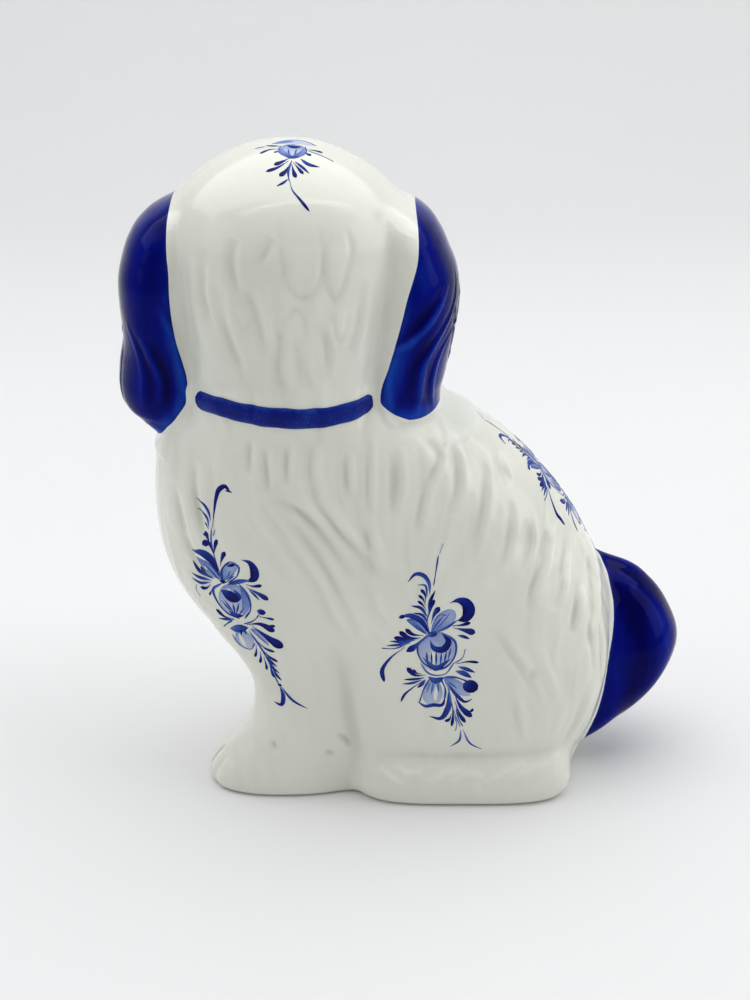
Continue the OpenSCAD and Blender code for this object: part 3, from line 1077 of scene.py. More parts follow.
class Skin:
    """The finished skin of the figurine, which the paint is laid on."""

    def __init__(self, points, tris):
        self.points, self.tris = points, tris
        self.normals = point_normals(points, tris)
        self.tree = BVHTree.FromPolygons([Vector(p) for p in points], tris.tolist())

    def under(self, starts, way):
        """Where lines from starts first meet the skin, or its nearest places, with its smooth normals."""
        way = Vector(way)
        places, faces = [], []
        for start in starts:
            start = Vector(start)
            place, _, face, _ = self.tree.ray_cast(start, way)
            if place is None:
                place, _, face, _ = self.tree.find_nearest(start + way * AWAY)
            places.append(place)
            faces.append(face)
        places = np.array(places)
        spokes = self.points[self.tris[faces]] - places[:, None]
        areas = [np.cross(spokes[:, (k + 1) % 3], spokes[:, (k + 2) % 3]) for k in range(3)]
        weight = np.stack([np.linalg.norm(area, axis=1) for area in areas], axis=1) + 1e-9
        weight /= weight.sum(axis=1, keepdims=True)
        normals = (weight[:, :, None] * self.normals[self.tris[faces]]).sum(axis=1)
        return places, normals / np.linalg.norm(normals, axis=1, keepdims=True)


# ---------------------------------------------------------------- painted strokes

# where brushes start from, in millimetres over the skin
AWAY = 60.0
# tones above this are thin washes
WASH = 0.6
# places across a stroke
RIBBON = np.array([-1.0, -0.6, 0.0, 0.6, 1.0])


def rounded_end(share, start):
    """Falls from 1 at start to 0 at 1 along a quarter of an ellipse."""
    return np.sqrt(np.clip(1 - ((share - start) / (1 - start)) ** 2, 0, 1))


def stroke_shape(shape, share):
    """Half width of a brush stroke along its way, as a part of its greatest half width."""
    s = np.clip(share, 0, 1)
    ends = np.clip(np.minimum(s, 1 - s) * 9, 0, 1) ** 0.5
    if shape == "stem":
        return (0.75 + 0.25 * np.sin(s * 7)) * ends
    if shape == "leaf":
        return np.sin(math.pi * s) ** 0.8
    if shape == "drop":
        return np.where(s < 0.78, (s / 0.78) ** 1.2, rounded_end(s, 0.78))
    if shape == "comma":
        return np.sin(math.pi * s**1.35) ** 0.9
    if shape == "petal":
        return np.where(s < 0.6, np.sin(math.pi / 2 * s / 0.6) ** 0.9, rounded_end(s, 0.6))
    return 2 * np.sqrt(np.clip(s * (1 - s), 0, 1))


def tube_faces(rings, around):
    """Faces of a closed tube through rings, with its two ends filled."""
    near_end = list(range(around))[::-1]
    far_end = list(range((rings - 1) * around, rings * around))
    return ring_faces(rings, around).tolist() + [near_end, far_end]


class Brush:
    """Lays strokes, drawn in millimetres across and up from an origin, on the skin as thin films of glaze."""

    def __init__(self, skin, origin, across, up, out):
        self.skin = skin
        self.origin, self.across, self.up, self.out = (np.array(v, float) for v in (origin, across, up, out))
        self.points, self.normals, self.faces, self.tones = [], [], [], []

    def on_skin(self, flat):
        starts = self.origin + flat[:, :1] * self.across + flat[:, 1:] * self.up + self.out * AWAY
        return self.skin.under(starts, -self.out)

    def lay(self, rows, lift, dome, tones, depth=0.3):
        """A closed film over a grid of places: rows along the stroke, and across it within each row."""
        rings, around = rows.shape[:2]
        places, normals = self.on_skin(rows.reshape(-1, 2))
        places, normals = places.reshape(rings, around, 3), normals.reshape(rings, around, 3)
        rise = (lift + dome * (1 - np.linspace(-1, 1, around) ** 2))[None, :, None]
        top = places + normals * rise
        low = (places - normals * depth)[:, ::-1]
        ring = np.concatenate([top, low], axis=1).reshape(-1, 3)
        start = sum(len(p) for p in self.points)
        faces = tube_faces(rings, 2 * around)
        fans = [(f[0], f[i], f[i + 1]) for f in faces for i in range(1, len(f) - 1)]
        if volume_of(ring, np.array(fans)) < 0:
            faces = [f[::-1] for f in faces]
        self.points.append(ring)
        self.normals.append(np.concatenate([normals, -normals[:, ::-1]], axis=1).reshape(-1, 3))
        self.tones.append(np.concatenate([tones, tones[:, ::-1]], axis=1).ravel())
        self.faces += [[i + start for i in f] for f in faces]

    def stroke(self, shape, width, tone, path, lift):
        """A stroke darkens towards its end, where the brush lifts off, and a wash gets paler."""
        course, share = curve_points(path, spacing=0.7)
        way = np.gradient(course, axis=0)
        way /= np.linalg.norm(way, axis=1, keepdims=True)
        half = np.maximum(stroke_shape(shape, share) * width / 2, 0.12)
        side = np.stack([-way[:, 1], way[:, 0]], axis=1)
        rows = course[:, None] + side[:, None] * (half[:, None] * RIBBON)[:, :, None]
        if tone > WASH:
            tones = tone - 0.3 * (1 - share[:, None]) ** 2 - 0.10 * RIBBON[None] ** 4
        else:
            tones = tone + 0.26 * (1 - share[:, None]) ** 1.5 - 0.05 * RIBBON[None] ** 2 + 0.06 * RIBBON[None]
        self.lay(rows, lift, 0.02 if tone > WASH else min(0.06, width * 0.03), np.clip(tones, 0, 1))

    def spray(self, strokes, lift=0.1):
        """Washes lie lowest; strokes that cross lie one over the other."""
        for number, (shape, width, tone, path) in enumerate(strokes):
            level = 0.04 + 0.008 * (number % 4) if tone > WASH else lift + 0.012 * (number % 4)
            self.stroke(shape, width, tone, path, level)

    def finish(self, name, material, nodes=()):
        """All that was laid, as one object. What stands for a node is thick, and shades by its own faces."""
        normals = None if nodes else np.concatenate(self.normals)
        make_object(
            name, np.concatenate(self.points), self.faces, material, nodes,
            normals=normals, extras={"tone": np.concatenate(self.tones)},
        )


# Strokes: shape, greatest width, tone (0 the darkest cobalt, 1 the palest wash), and the way of the brush.
# Ways are (across, up) from the heart of the rose. Washes come first and lie lowest.

HAUNCH_SPRAY = [
    ("disc", 16.5, 0.93, [(0.6, 6), (0.6, -13.5)]),
    ("leaf", 4.6, 0.66, [(-13, 11.3), (-8.5, 9.8), (-3.2, 5)]),
    ("petal", 7.4, 0.78, [(-2, 5.2), (2.3, 10), (8.6, 15.4)]),
    ("leaf", 6.5, 0.84, [(4, -16.6), (9.5, -21), (16, -26)]),
    ("petal", 9, 0.92, [(0.6, -16.6), (-0.8, -24), (-1.6, -31.4)]),
    ("stem", 0.75, 0.15, [(1, 41), (0, 34), (-1, 27)]),
    ("stem", 0.35, 0.55, [(3.2, 46), (1.5, 41.6)]),
    ("leaf", 1.9, 0.2, [(-2.7, 23), (-3.2, 28.5), (-5.2, 31.5), (-8.7, 32.6), (-12.4, 29)]),
    ("leaf", 1.0, 0.2, [(-8, 27.4), (-5, 27.3), (-3.8, 22)]),
    ("drop", 1.6, 0.05, [(-4.6, 19.5), (-4.8, 23), (-6.7, 25.4)]),
    ("drop", 1.4, 0.08, [(-4.6, 18), (-5.8, 21), (-7.7, 22.6)]),
    ("drop", 1.3, 0.08, [(-4.2, 15.5), (-6, 18.4), (-8, 20)]),
    ("leaf", 1.4, 0.1, [(-3.6, 12.5), (-7, 17), (-10.9, 17.8)]),
    ("leaf", 1.3, 0.15, [(-3.4, 9.5), (-6, 13.6), (-9.9, 14.6)]),
    ("stem", 0.7, 0.3, [(-2.8, 15.5), (-3.7, 11), (-2.7, 5)]),
    ("leaf", 1.6, 0.05, [(-3, 14), (-2.4, 20), (-0.3, 24.8)]),
    ("drop", 1.7, 0.1, [(-3, 13), (-1.8, 17.6), (-0.6, 20.8)]),
    ("drop", 2.5, 0.15, [(-2, 9.5), (-0.5, 14.2), (1.8, 17.4)]),
    ("leaf", 2.6, 0.12, [(-16, 12.8), (-11, 13.2), (-6.5, 11), (-3, 5)]),
    ("disc", 1.8, 0.02, [(-16.4, 12.2), (-13.6, 13.2)]),
    ("leaf", 1.8, 0.3, [(-12, 11), (-8, 8), (-4, 4.6)]),
    ("leaf", 0.8, 0.25, [(-2, 5.5), (0.5, 9.5), (3.6, 13.5)]),
    ("leaf", 0.6, 0.35, [(-1.5, 5.5), (2.5, 9.5), (6.4, 14.6)]),
    ("leaf", 1.2, 0.25, [(-1, 5.2), (4.5, 7.6), (10, 11.4)]),
    ("stem", 0.8, 0.35, [(-0.8, 10.5), (2, 13.8), (5, 13.6)]),
    ("disc", 2.8, 0.2, [(-3.4, 4), (0.8, 5.4)]),
    ("comma", 5.6, 0.0, [(6.4, 19.2), (9.8, 20.2), (13.4, 18.8), (14.8, 15.4), (13.4, 12.4), (10, 11)]),
    ("drop", 1.7, 0.03, [(7.4, 8.6), (11.5, 9), (15.6, 10)]),
    ("drop", 3.0, 0.12, [(8, 7.6), (12, 6.8), (17.8, 5.2)]),
    ("leaf", 1.5, 0.12, [(10, 4.1), (12.5, 3.6), (15.2, 2.4)]),
    ("drop", 2.1, 0.04, [(-5.4, 4), (-10.4, 4.6), (-13.4, 7)]),
    ("drop", 2.4, 0.06, [(-6.6, 2.8), (-12, 3), (-16.2, 5.6)]),
    ("drop", 2.2, 0.08, [(-7.6, 2.4), (-13, 2), (-18.6, 2.6)]),
    ("leaf", 1.5, 0.18, [(-9, 1.8), (-14, 0.8), (-20.2, 0.8)]),
    ("leaf", 1.2, 0.22, [(-11, 0.4), (-16, -0.7), (-21.8, -1.4)]),
    ("stem", 0.7, 0.25, [(-13, -0.4), (-18, -2.6), (-24, -2.8)]),
    ("comma", 3.0, 0.1, [(-7.8, 0.8), (-9.8, -1.8), (-13, -4)]),
    ("drop", 2.1, 0.12, [(-13.6, -1.8), (-20, -7.5), (-23.8, -14.5), (-22.8, -20)]),
    ("stem", 1.1, 0.18, [(-2.6, 4.4), (-7.8, -0.6), (-6.4, -8), (0, -13)]),
    ("stem", 1.2, 0.18, [(2.6, 5.6), (8.8, 1), (9, -5), (5.4, -10.8), (0, -13)]),
    ("stem", 0.9, 0.3, [(-6.6, -9.6), (-2.8, -14.6), (4, -15), (8.6, -9)]),
    ("leaf", 3.2, 0.03, [(-2.4, 1.8), (-0.8, -1.8), (3.4, -2.6), (5.8, 1), (2.8, 5.6)]),
    ("leaf", 2.4, 0.2, [(-5.4, -7), (0.3, -11.6), (6.6, -7.4)]),
    ("leaf", 0.9, 0.2, [(-3.4, -9.6), (-4, -4)]),
    ("leaf", 0.9, 0.2, [(-1.5, -10.6), (-1.8, -4)]),
    ("leaf", 0.9, 0.2, [(0.4, -11), (0.4, -3.6)]),
    ("leaf", 0.9, 0.2, [(2.2, -11), (2.8, -4)]),
    ("leaf", 0.9, 0.2, [(4, -9.6), (5, -3.6)]),
    ("leaf", 0.8, 0.25, [(5.6, -8), (7, -2)]),
    ("stem", 0.6, 0.3, [(8.6, -9.4), (12.3, -6.4), (13.4, -2.4)]),
    ("drop", 1.3, 0.05, [(9.6, -9.6), (14.5, -8.6), (19.6, -9)]),
    ("leaf", 1.8, 0.15, [(10.4, -11), (14, -12.2), (17.9, -14)]),
    ("leaf", 2.5, 0.18, [(9.2, -13.2), (13, -14.4), (16.4, -16.6)]),
    ("leaf", 1.7, 0.12, [(5.8, -19.4), (10.5, -26.3), (14, -29.2), (17, -27.6)]),
    ("stem", 1.2, 0.2, [(4, -16.4), (9, -16.4), (15, -18.6)]),
    ("leaf", 0.8, 0.35, [(5, -17.6), (10, -22)]),
    ("leaf", 0.7, 0.4, [(4.8, -18), (8.4, -23)]),
    ("disc", 6.6, 0.0, [(12.8, -19.6), (19.4, -22.6)]),
    ("stem", 0.9, 0.22, [(-2, -17), (-5, -23), (-6.8, -30)]),
    ("leaf", 1.9, 0.12, [(-7.6, -29.6), (-4, -32), (0, -31), (3.2, -31), (4.8, -26.6)]),
    ("stem", 1.1, 0.22, [(4.4, -28), (4.8, -23), (2.6, -17.2)]),
    ("leaf", 3.2, 0.2, [(-3, -16.4), (0.4, -18.2), (4, -16.6)]),
    ("leaf", 0.9, 0.35, [(-0.4, -18), (-1.6, -25.4)]),
    ("leaf", 0.9, 0.35, [(1.2, -18), (1.7, -24)]),
    ("leaf", 0.7, 0.45, [(-1.6, -18), (-3.8, -25)]),
    ("drop", 2.4, 0.06, [(-4.3, -15.6), (-9, -15.7), (-12.6, -12)]),
    ("drop", 1.4, 0.08, [(-6, -15), (-8.4, -14.6), (-9.9, -12.8)]),
    ("leaf", 1.3, 0.12, [(-4.8, -17), (-9, -17.8), (-13.8, -18.2)]),
    ("leaf", 1.2, 0.18, [(-6, -18.2), (-10, -19.8), (-14.6, -20.6)]),
    ("leaf", 1.7, 0.15, [(-4.3, -18.2), (-6, -20.5), (-7.8, -22.2)]),
    ("drop", 1.2, 0.15, [(-4.6, -18), (-10, -22.4), (-13.5, -26), (-15.3, -30)]),
    ("stem", 0.6, 0.3, [(5.8, -21), (8.4, -33), (12, -43)]),
    ("leaf", 2.7, 0.15, [(6.5, -22.6), (6, -33), (3, -38.3), (-2.2, -37.6)]),
    ("drop", 1.5, 0.12, [(8, -30), (8.5, -37), (8, -42.8)]),
    ("drop", 1.7, 0.08, [(7.8, -35.6), (6.4, -39.3), (4.8, -40)]),
    ("drop", 3.1, 0.1, [(8.8, -25), (12, -32), (17, -37.4)]),
    ("drop", 1.5, 0.06, [(13.8, -33.8), (16.5, -34.4), (17.6, -32.8)]),
    ("drop", 2.0, 0.12, [(9.2, -29), (11.5, -36), (14.2, -40.6)]),
    ("stem", 0.8, 0.2, [(9.8, -33), (11.5, -39.5), (13.2, -42.8)]),
    ("stem", 0.6, 0.4, [(9.3, -37), (10.2, -41), (9.9, -45.4)]),
    ("leaf", 1.0, 0.25, [(12.2, -44.6), (11.6, -51), (7.8, -54.6)]),
    ("leaf", 0.9, 0.25, [(13.2, -44.6), (17, -53), (22, -56.2)]),
]

CHEST_SPRAY = [
    ("disc", 14.5, 0.95, [(0.2, 7), (1, -10.4)]),
    ("leaf", 5.0, 0.72, [(-16.5, 16.4), (-11, 12.4), (-5.6, 8)]),
    ("petal", 5.8, 0.8, [(-4.2, 7.4), (-2, 12.6), (1.8, 17.8)]),
    ("leaf", 4.0, 0.7, [(4, 6.2), (6.2, -1), (4.6, -8.4)]),
    ("petal", 8.4, 0.93, [(1.6, -15), (4, -19.6), (6.8, -25.8)]),
    ("leaf", 3.0, 0.85, [(8, -14.6), (13, -18.6), (16, -23)]),
    ("drop", 2.2, 0.06, [(-8.2, 33), (-7.2, 41), (-6.2, 47), (-4.4, 51.8), (-2, 53.4), (0, 51.6)]),
    ("leaf", 0.9, 0.1, [(-2, 51.4), (-0.4, 51.4), (1.2, 51)]),
    ("leaf", 1.2, 0.22, [(-9, 36), (-10, 40.5), (-12.6, 44), (-15.6, 44.8)]),
    ("leaf", 1.1, 0.25, [(-9.8, 33), (-10.8, 37.6), (-12.6, 39.6), (-15.1, 40)]),
    ("drop", 0.9, 0.1, [(-10, 32), (-11.5, 34.8)]),
    ("stem", 0.6, 0.3, [(-8, 29), (-7.2, 32)]),
    ("stem", 0.8, 0.25, [(-8.7, 33), (-9, 25), (-7.6, 18), (-5.6, 10.6)]),
    ("drop", 2.1, 0.06, [(-9.4, 24), (-11, 28), (-11.5, 30.4)]),
    ("drop", 1.1, 0.08, [(-10.2, 27), (-12.8, 28.8)]),
    ("drop", 3.1, 0.08, [(-8.3, 20), (-10.6, 24.8), (-13.4, 23.6)]),
    ("drop", 1.9, 0.06, [(-8.2, 19), (-7.4, 24), (-6.4, 27.6)]),
    ("drop", 2.1, 0.08, [(-5.4, 14.5), (-4.4, 18.5), (-2.9, 22.4)]),
    ("leaf", 3.9, 0.1, [(-18.6, 18.8), (-14, 19.5), (-10, 17.4), (-6.4, 11.4)]),
    ("leaf", 0.8, 0.25, [(-14, 15.2), (-9.5, 11.2), (-5.4, 7)]),
    ("leaf", 0.8, 0.25, [(-12, 16), (-8, 12.4), (-5, 8)]),
    ("leaf", 0.7, 0.3, [(-10.5, 16), (-7.4, 12.6), (-4.8, 8.6)]),
    ("leaf", 1.9, 0.12, [(-8.4, 7.8), (-15.5, 9.4), (-18.4, 13.4)]),
    ("drop", 1.8, 0.03, [(-9.2, 8.4), (-12.5, 9.4), (-14.6, 11.8)]),
    ("leaf", 1.5, 0.2, [(-9.4, 6.4), (-14, 6), (-19.2, 7.2)]),
    ("leaf", 1.4, 0.2, [(-10.3, 5), (-15, 3.6), (-19.2, 4.6)]),
    ("drop", 1.9, 0.06, [(-10.2, 4), (-12.5, 1.6), (-15.2, 1.2)]),
    ("drop", 1.0, 0.1, [(-9.4, 2.2), (-11, -1.6)]),
    ("stem", 0.45, 0.45, [(-17, 2), (-17.4, -1), (-15.5, -4)]),
    ("stem", 1.2, 0.15, [(-4.6, 7), (-4.6, 13), (-0.8, 17.8)]),
    ("stem", 1.0, 0.2, [(-0.8, 18), (3.2, 15.8), (2.4, 11.4), (-1.8, 7)]),
    ("leaf", 1.6, 0.03, [(-2.2, 15.2), (1.8, 17)]),
    ("leaf", 0.6, 0.3, [(-3, 8), (-0.6, 13.2)]),
    ("leaf", 0.6, 0.3, [(-2.4, 8), (1, 12.2)]),
    ("comma", 4.1, 0.0, [(4.4, 19.6), (8, 18.8), (10.3, 15), (9.8, 11), (6.8, 9.2)]),
    ("leaf", 2.2, 0.22, [(8, 10), (2.8, 8.4), (-2, 6.2)]),
    ("stem", 0.6, 0.25, [(1, 11), (-3, 6.8)]),
    ("disc", 2.2, 0.03, [(-5.8, 7.4), (-3, 7)]),
    ("drop", 1.7, 0.03, [(6.2, 7.6), (9.4, 7.2), (13.6, 8.2)]),
    ("drop", 2.6, 0.15, [(6.6, 6.2), (11.5, 4), (16.4, 1.4)]),
    ("leaf", 1.1, 0.15, [(7.6, 5.2), (10, 3), (12.2, 0.6)]),
    ("stem", 1.2, 0.18, [(-4.6, 6.4), (-9, 2), (-7.2, -4), (-3, -8.4), (3, -10.4)]),
    ("stem", 1.2, 0.2, [(3, 7.4), (7, 2.2), (8, -5), (5.2, -10)]),
    ("petal", 5.4, 0.0, [(-5.4, 2.6), (-1.5, 0.6), (2.2, -1.6)]),
    ("leaf", 2.4, 0.1, [(0.6, 4), (2.8, 1), (1.6, -2.4)]),
    ("leaf", 1.0, 0.12, [(0, -3.2), (0.8, -8.4)]),
    ("leaf", 0.9, 0.2, [(-3.8, -2.4), (0.4, -8.2)]),
    ("leaf", 0.9, 0.2, [(2.8, -2.4), (1.4, -8.4)]),
    ("leaf", 0.8, 0.25, [(-5.6, -2.6), (-0.2, -8.2)]),
    ("leaf", 0.8, 0.3, [(5.4, -4), (2.4, -9)]),
    ("leaf", 2.2, 0.12, [(-2, -7.4), (1.2, -9), (4.6, -8.6)]),
    ("drop", 1.7, 0.1, [(0.4, -11.2), (-4.4, -10.6), (-8, -7.8)]),
    ("leaf", 1.2, 0.2, [(0, -11.6), (-3.6, -12), (-7, -12.4)]),
    ("stem", 0.9, 0.2, [(-0.6, -12), (-3, -14), (-4.8, -16.2)]),
    ("stem", 0.8, 0.2, [(4.6, -12.8), (8, -11.4), (10.6, -9), (11.8, -6.6)]),
    ("disc", 2.8, 0.05, [(11, -5), (15, -5.6)]),
    ("drop", 1.2, 0.05, [(12, -7.8), (15, -8), (18.8, -8.4)]),
    ("drop", 3.3, 0.05, [(6.2, -13), (12, -11.8), (18.8, -14.6)]),
    ("drop", 1.5, 0.08, [(14.4, -12), (19.2, -11.8)]),
    ("drop", 4.5, 0.03, [(8.4, -13.4), (14, -17.4), (22.4, -23)]),
    ("leaf", 0.8, 0.4, [(7.4, -15), (12, -19), (15.7, -22.6)]),
    ("leaf", 4.0, 0.25, [(-1.8, -16.4), (2.4, -15.6), (6.6, -14.4)]),
    ("leaf", 1.2, 0.08, [(3.8, -13.4), (0.2, -17.6)]),
    ("leaf", 1.2, 0.08, [(3.8, -13.4), (3.2, -19)]),
    ("leaf", 1.1, 0.1, [(3.8, -13.4), (5.8, -18.2)]),
    ("stem", 0.8, 0.3, [(-1, -19.6), (3, -25), (7.6, -25.8), (9.6, -22)]),
    ("stem", 0.9, 0.2, [(7, -16), (12, -24), (15.5, -31.6), (17.8, -38.6), (20, -43.6)]),
    ("drop", 1.4, 0.1, [(11, -21.4), (15, -25), (18.5, -25.8)]),
    ("drop", 1.5, 0.1, [(12.6, -25), (16.5, -29.4), (19.9, -31)]),
    ("leaf", 1.4, 0.12, [(13.8, -28), (17, -32), (19.3, -33.8)]),
    ("leaf", 1.3, 0.12, [(15.8, -31.6), (18, -35.4), (20.3, -37.2)]),
    ("leaf", 1.3, 0.12, [(17.4, -35.6), (19.4, -39), (21.3, -41)]),
    ("drop", 1.3, 0.12, [(10, -22.8), (10, -27), (9.3, -30)]),
    ("drop", 1.4, 0.1, [(11.8, -26.4), (12, -30.4), (11.5, -33)]),
    ("drop", 1.3, 0.12, [(13.4, -29.4), (14.4, -34), (14.6, -36.4)]),
    ("drop", 1.2, 0.12, [(16, -33.4), (17, -38), (17.9, -40)]),
    ("disc", 1.5, 0.05, [(19.4, -43.2), (21.2, -44.2)]),
    ("leaf", 2.1, 0.1, [(20.4, -44.6), (21.8, -49), (20.6, -54.4), (17.6, -53.4)]),
    ("leaf", 1.2, 0.15, [(21, -44.4), (26.4, -51.6), (32.8, -55.4)]),
]

CROWN_SPRAY = [
    ("disc", 12, 0.92, [(0, 7), (0, -5.6)]),
    ("leaf", 6, 0.95, [(-9, 7.6), (0, 11), (9.6, 8)]),
    ("leaf", 3.0, 0.42, [(-5.2, 2), (-3.8, -2.6), (0, -4.6)]),
    ("leaf", 3.0, 0.42, [(5.2, 2), (3.8, -2.6), (0, -4.6)]),
    ("leaf", 2.2, 0.42, [(-8, 7.6), (-4, 9.8), (0, 10.4)]),
    ("stem", 0.8, 0.35, [(-9.6, 7.4), (-3, 12), (4, 12.8), (10.4, 8.4)]),
    ("stem", 0.8, 0.3, [(-5.4, 5), (-6, -1), (0, -5.8), (6, -1), (5.4, 5)]),
    ("leaf", 2.8, 0.08, [(-2.6, 5.4), (0.4, 3.6), (3.6, 4.2)]),
    ("leaf", 2.2, 0.2, [(-5, -3), (0, -5.4), (5, -3)]),
    ("leaf", 0.8, 0.25, [(-2.4, -4.4), (-4.2, -1), (-4.6, 1.8)]),
    ("leaf", 0.8, 0.25, [(-0.8, -4.6), (-1.7, -1.4), (-1.9, 1.2)]),
    ("leaf", 0.8, 0.25, [(0.8, -4.6), (1.4, -1.4), (1.7, 1.4)]),
    ("leaf", 0.8, 0.25, [(2.4, -4.4), (4.2, -1), (4.6, 2)]),
    ("drop", 1.5, 0.08, [(-5.5, 1.4), (-10, 1.4), (-14.6, -1.4)]),
    ("leaf", 1.3, 0.2, [(-6, 4.4), (-9, 5), (-12.2, 6)]),
    ("leaf", 0.7, 0.4, [(-12.4, 5), (-17, 4.4)]),
    ("drop", 1.4, 0.08, [(-4.6, -0.2), (-8.4, -1.4)]),
    ("drop", 2.1, 0.03, [(4.6, -0.4), (8.4, -2.8)]),
    ("drop", 1.5, 0.06, [(6, 2), (10, 2.4), (13.4, 2)]),
    ("stem", 0.6, 0.3, [(7, 1), (13, -1.2), (18.4, -3.6)]),
    ("drop", 2.5, 0.06, [(-0.8, -6), (-5, -9.3), (-7.8, -11)]),
    ("drop", 2.0, 0.05, [(-1.6, -8.4), (-6, -12.6), (-11.2, -15)]),
    ("drop", 2.5, 0.03, [(-0.8, -10.8), (-3, -15.6), (-5.2, -18.2)]),
    ("drop", 2.1, 0.04, [(0, -10.6), (1, -15.4), (2, -18.8)]),
    ("drop", 1.8, 0.08, [(0.6, -9.2), (3.4, -13.6), (5.2, -16.4)]),
    ("leaf", 1.5, 0.12, [(1.4, -8.6), (5, -12.4), (7.8, -15.6)]),
    ("leaf", 2.1, 0.12, [(3.8, -6.4), (7.6, -9.8), (12.2, -10.4)]),
    ("leaf", 1.1, 0.25, [(0, -7.6), (-1.4, -16), (-1, -20.6)]),
    ("leaf", 1.3, 0.12, [(-1.4, -19.8), (-3.6, -22), (-6.2, -23.6)]),
    ("drop", 1.4, 0.08, [(-0.8, -19.8), (0.6, -25.5), (4, -30), (8.2, -34.8)]),
]

IRIS_STROKES = [
    ("disc", 6.8, 0.22, [(18, 3.4), (18, -3.4)]),
]
FACE_STROKES = [
    ("disc", 4.4, 0.0, [(18, 2.4), (18, -2.0)]),
    ("leaf", 1.9, 0.0, [(12.6, -1.6), (15, 3.4), (19, 4.8), (23.6, 0.4)]),
    ("leaf", 0.9, 0.2, [(13, -2), (17.6, -4.6), (22.8, -1.6)]),
    ("leaf", 1.3, 0.15, [(11, 8), (13.4, 12), (17.4, 14)]),
    ("leaf", 1.3, 0.15, [(14.4, 8.6), (17.4, 12), (21.4, 13.2)]),
    ("leaf", 1.2, 0.18, [(18.4, 8.4), (21.4, 11), (25, 11.4)]),
    ("leaf", 1.1, 0.2, [(22, 7), (24.6, 8.8), (27.8, 8.4)]),
    ("leaf", 1.5, 0.05, [(0, -17), (4.4, -21), (9.4, -22.4), (14.6, -20)]),
    ("disc", 1.3, 0.05, [(6.4, -14.4), (6.4, -15.7)]),
    ("disc", 1.3, 0.05, [(9.8, -13.4), (9.8, -14.7)]),
    ("disc", 1.3, 0.05, [(8.2, -17.4), (8.2, -18.7)]),
    ("disc", 1.3, 0.05, [(11.8, -16.6), (11.8, -17.9)]),
    ("leaf", 0.6, 0.4, [(26, -6), (28, -14), (27, -22)]),
    ("leaf", 0.6, 0.4, [(23, -12), (25, -19), (23.6, -26)]),
    ("leaf", 1.0, 0.25, [(4.6, 6), (4, 10), (5, 15)]),
]
NOSE_STROKES = [
    ("disc", 7.6, 0.0, [(-6.6, -8.6), (6.6, -8.6)]),
    ("stem", 1.3, 0.03, [(0, -11.6), (0, -17)]),
    ("leaf", 1.4, 0.2, [(-7, -27), (0, -28.6), (7, -27)]),
]


def mirrored(strokes):
    return [(shape, width, tone, [(-u, v) for u, v in path]) for shape, width, tone, path in strokes]


def scaled(strokes, size):
    return [
        (shape, width * size, tone, [(u * size, v * size) for u, v in path])
        for shape, width, tone, path in strokes
    ]


# about half the depth of the figurine
FLANK_Y = 40


def flank_brush(skin, x, z, side):
    """A brush held level against one side of the figurine."""
    return Brush(skin, (x, side * FLANK_Y, z), (1, 0, 0), (0, 0, 1), (0, side, 0))


def paint_flanks(skin, material):
    """A spray on the chest and one on the thigh, the same on both sides of the figurine."""
    for side, where in ((-1, "back_side"), (1, "display_side")):
        sprays = (("chest_spray", -64, 103, CHEST_SPRAY), ("haunch_spray", 27, 86.2, HAUNCH_SPRAY))
        for name, x, z, strokes in sprays:
            brush = flank_brush(skin, x, z, side)
            brush.spray(strokes)
            brush.finish(name + "_" + where, material)


def paint_crown(skin, material):
    """A spray on top of the head, its stem hanging down the back."""
    tilt = math.radians(25)
    up = (0, math.cos(tilt), math.sin(tilt))
    out = (0, -math.sin(tilt), math.cos(tilt))
    brush = Brush(skin, (-35, -12, CROWN_Z - 2), (1, 0, 0), up, out)
    brush.spray(scaled(CROWN_SPRAY, 0.95))
    brush.finish("crown_spray", material)


def paint_back(skin, material):
    """A spray along the spine, with its stem towards the neck."""
    slope = math.radians(52)
    up = np.array([-math.cos(slope), 0, math.sin(slope)])
    out = np.array([math.sin(slope), 0, math.cos(slope)])
    brush = Brush(skin, (77, 1, 144), (0, 1, 0), up, out)
    brush.spray(scaled(HAUNCH_SPRAY, 0.92))
    brush.finish("back_spray", material)


def paint_face(skin, material):
    """Eyes, lashes, nose, mouth and whisker dots."""
    brush = Brush(skin, (HEAD_X, FACE_Y, CROWN_Z - 60), (1, 0, 0), (0, 0, 1), (0, 1, 0))
    brush.spray(IRIS_STROKES + mirrored(IRIS_STROKES), lift=0.06)
    brush.spray(FACE_STROKES + mirrored(FACE_STROKES) + NOSE_STROKES, lift=0.17)
    brush.finish("face_painting", material)


# ---------------------------------------------------------------- collar and locket

COLLAR_COURSE = [
    (-77.5, 194.5), (-70, 194), (-58, 192.7), (-46, 191.4), (-34, 190.7), (-22, 190.7), (-11, 191.8),
    (-1, 193.8),
]
COLLAR_HALF = 4.5


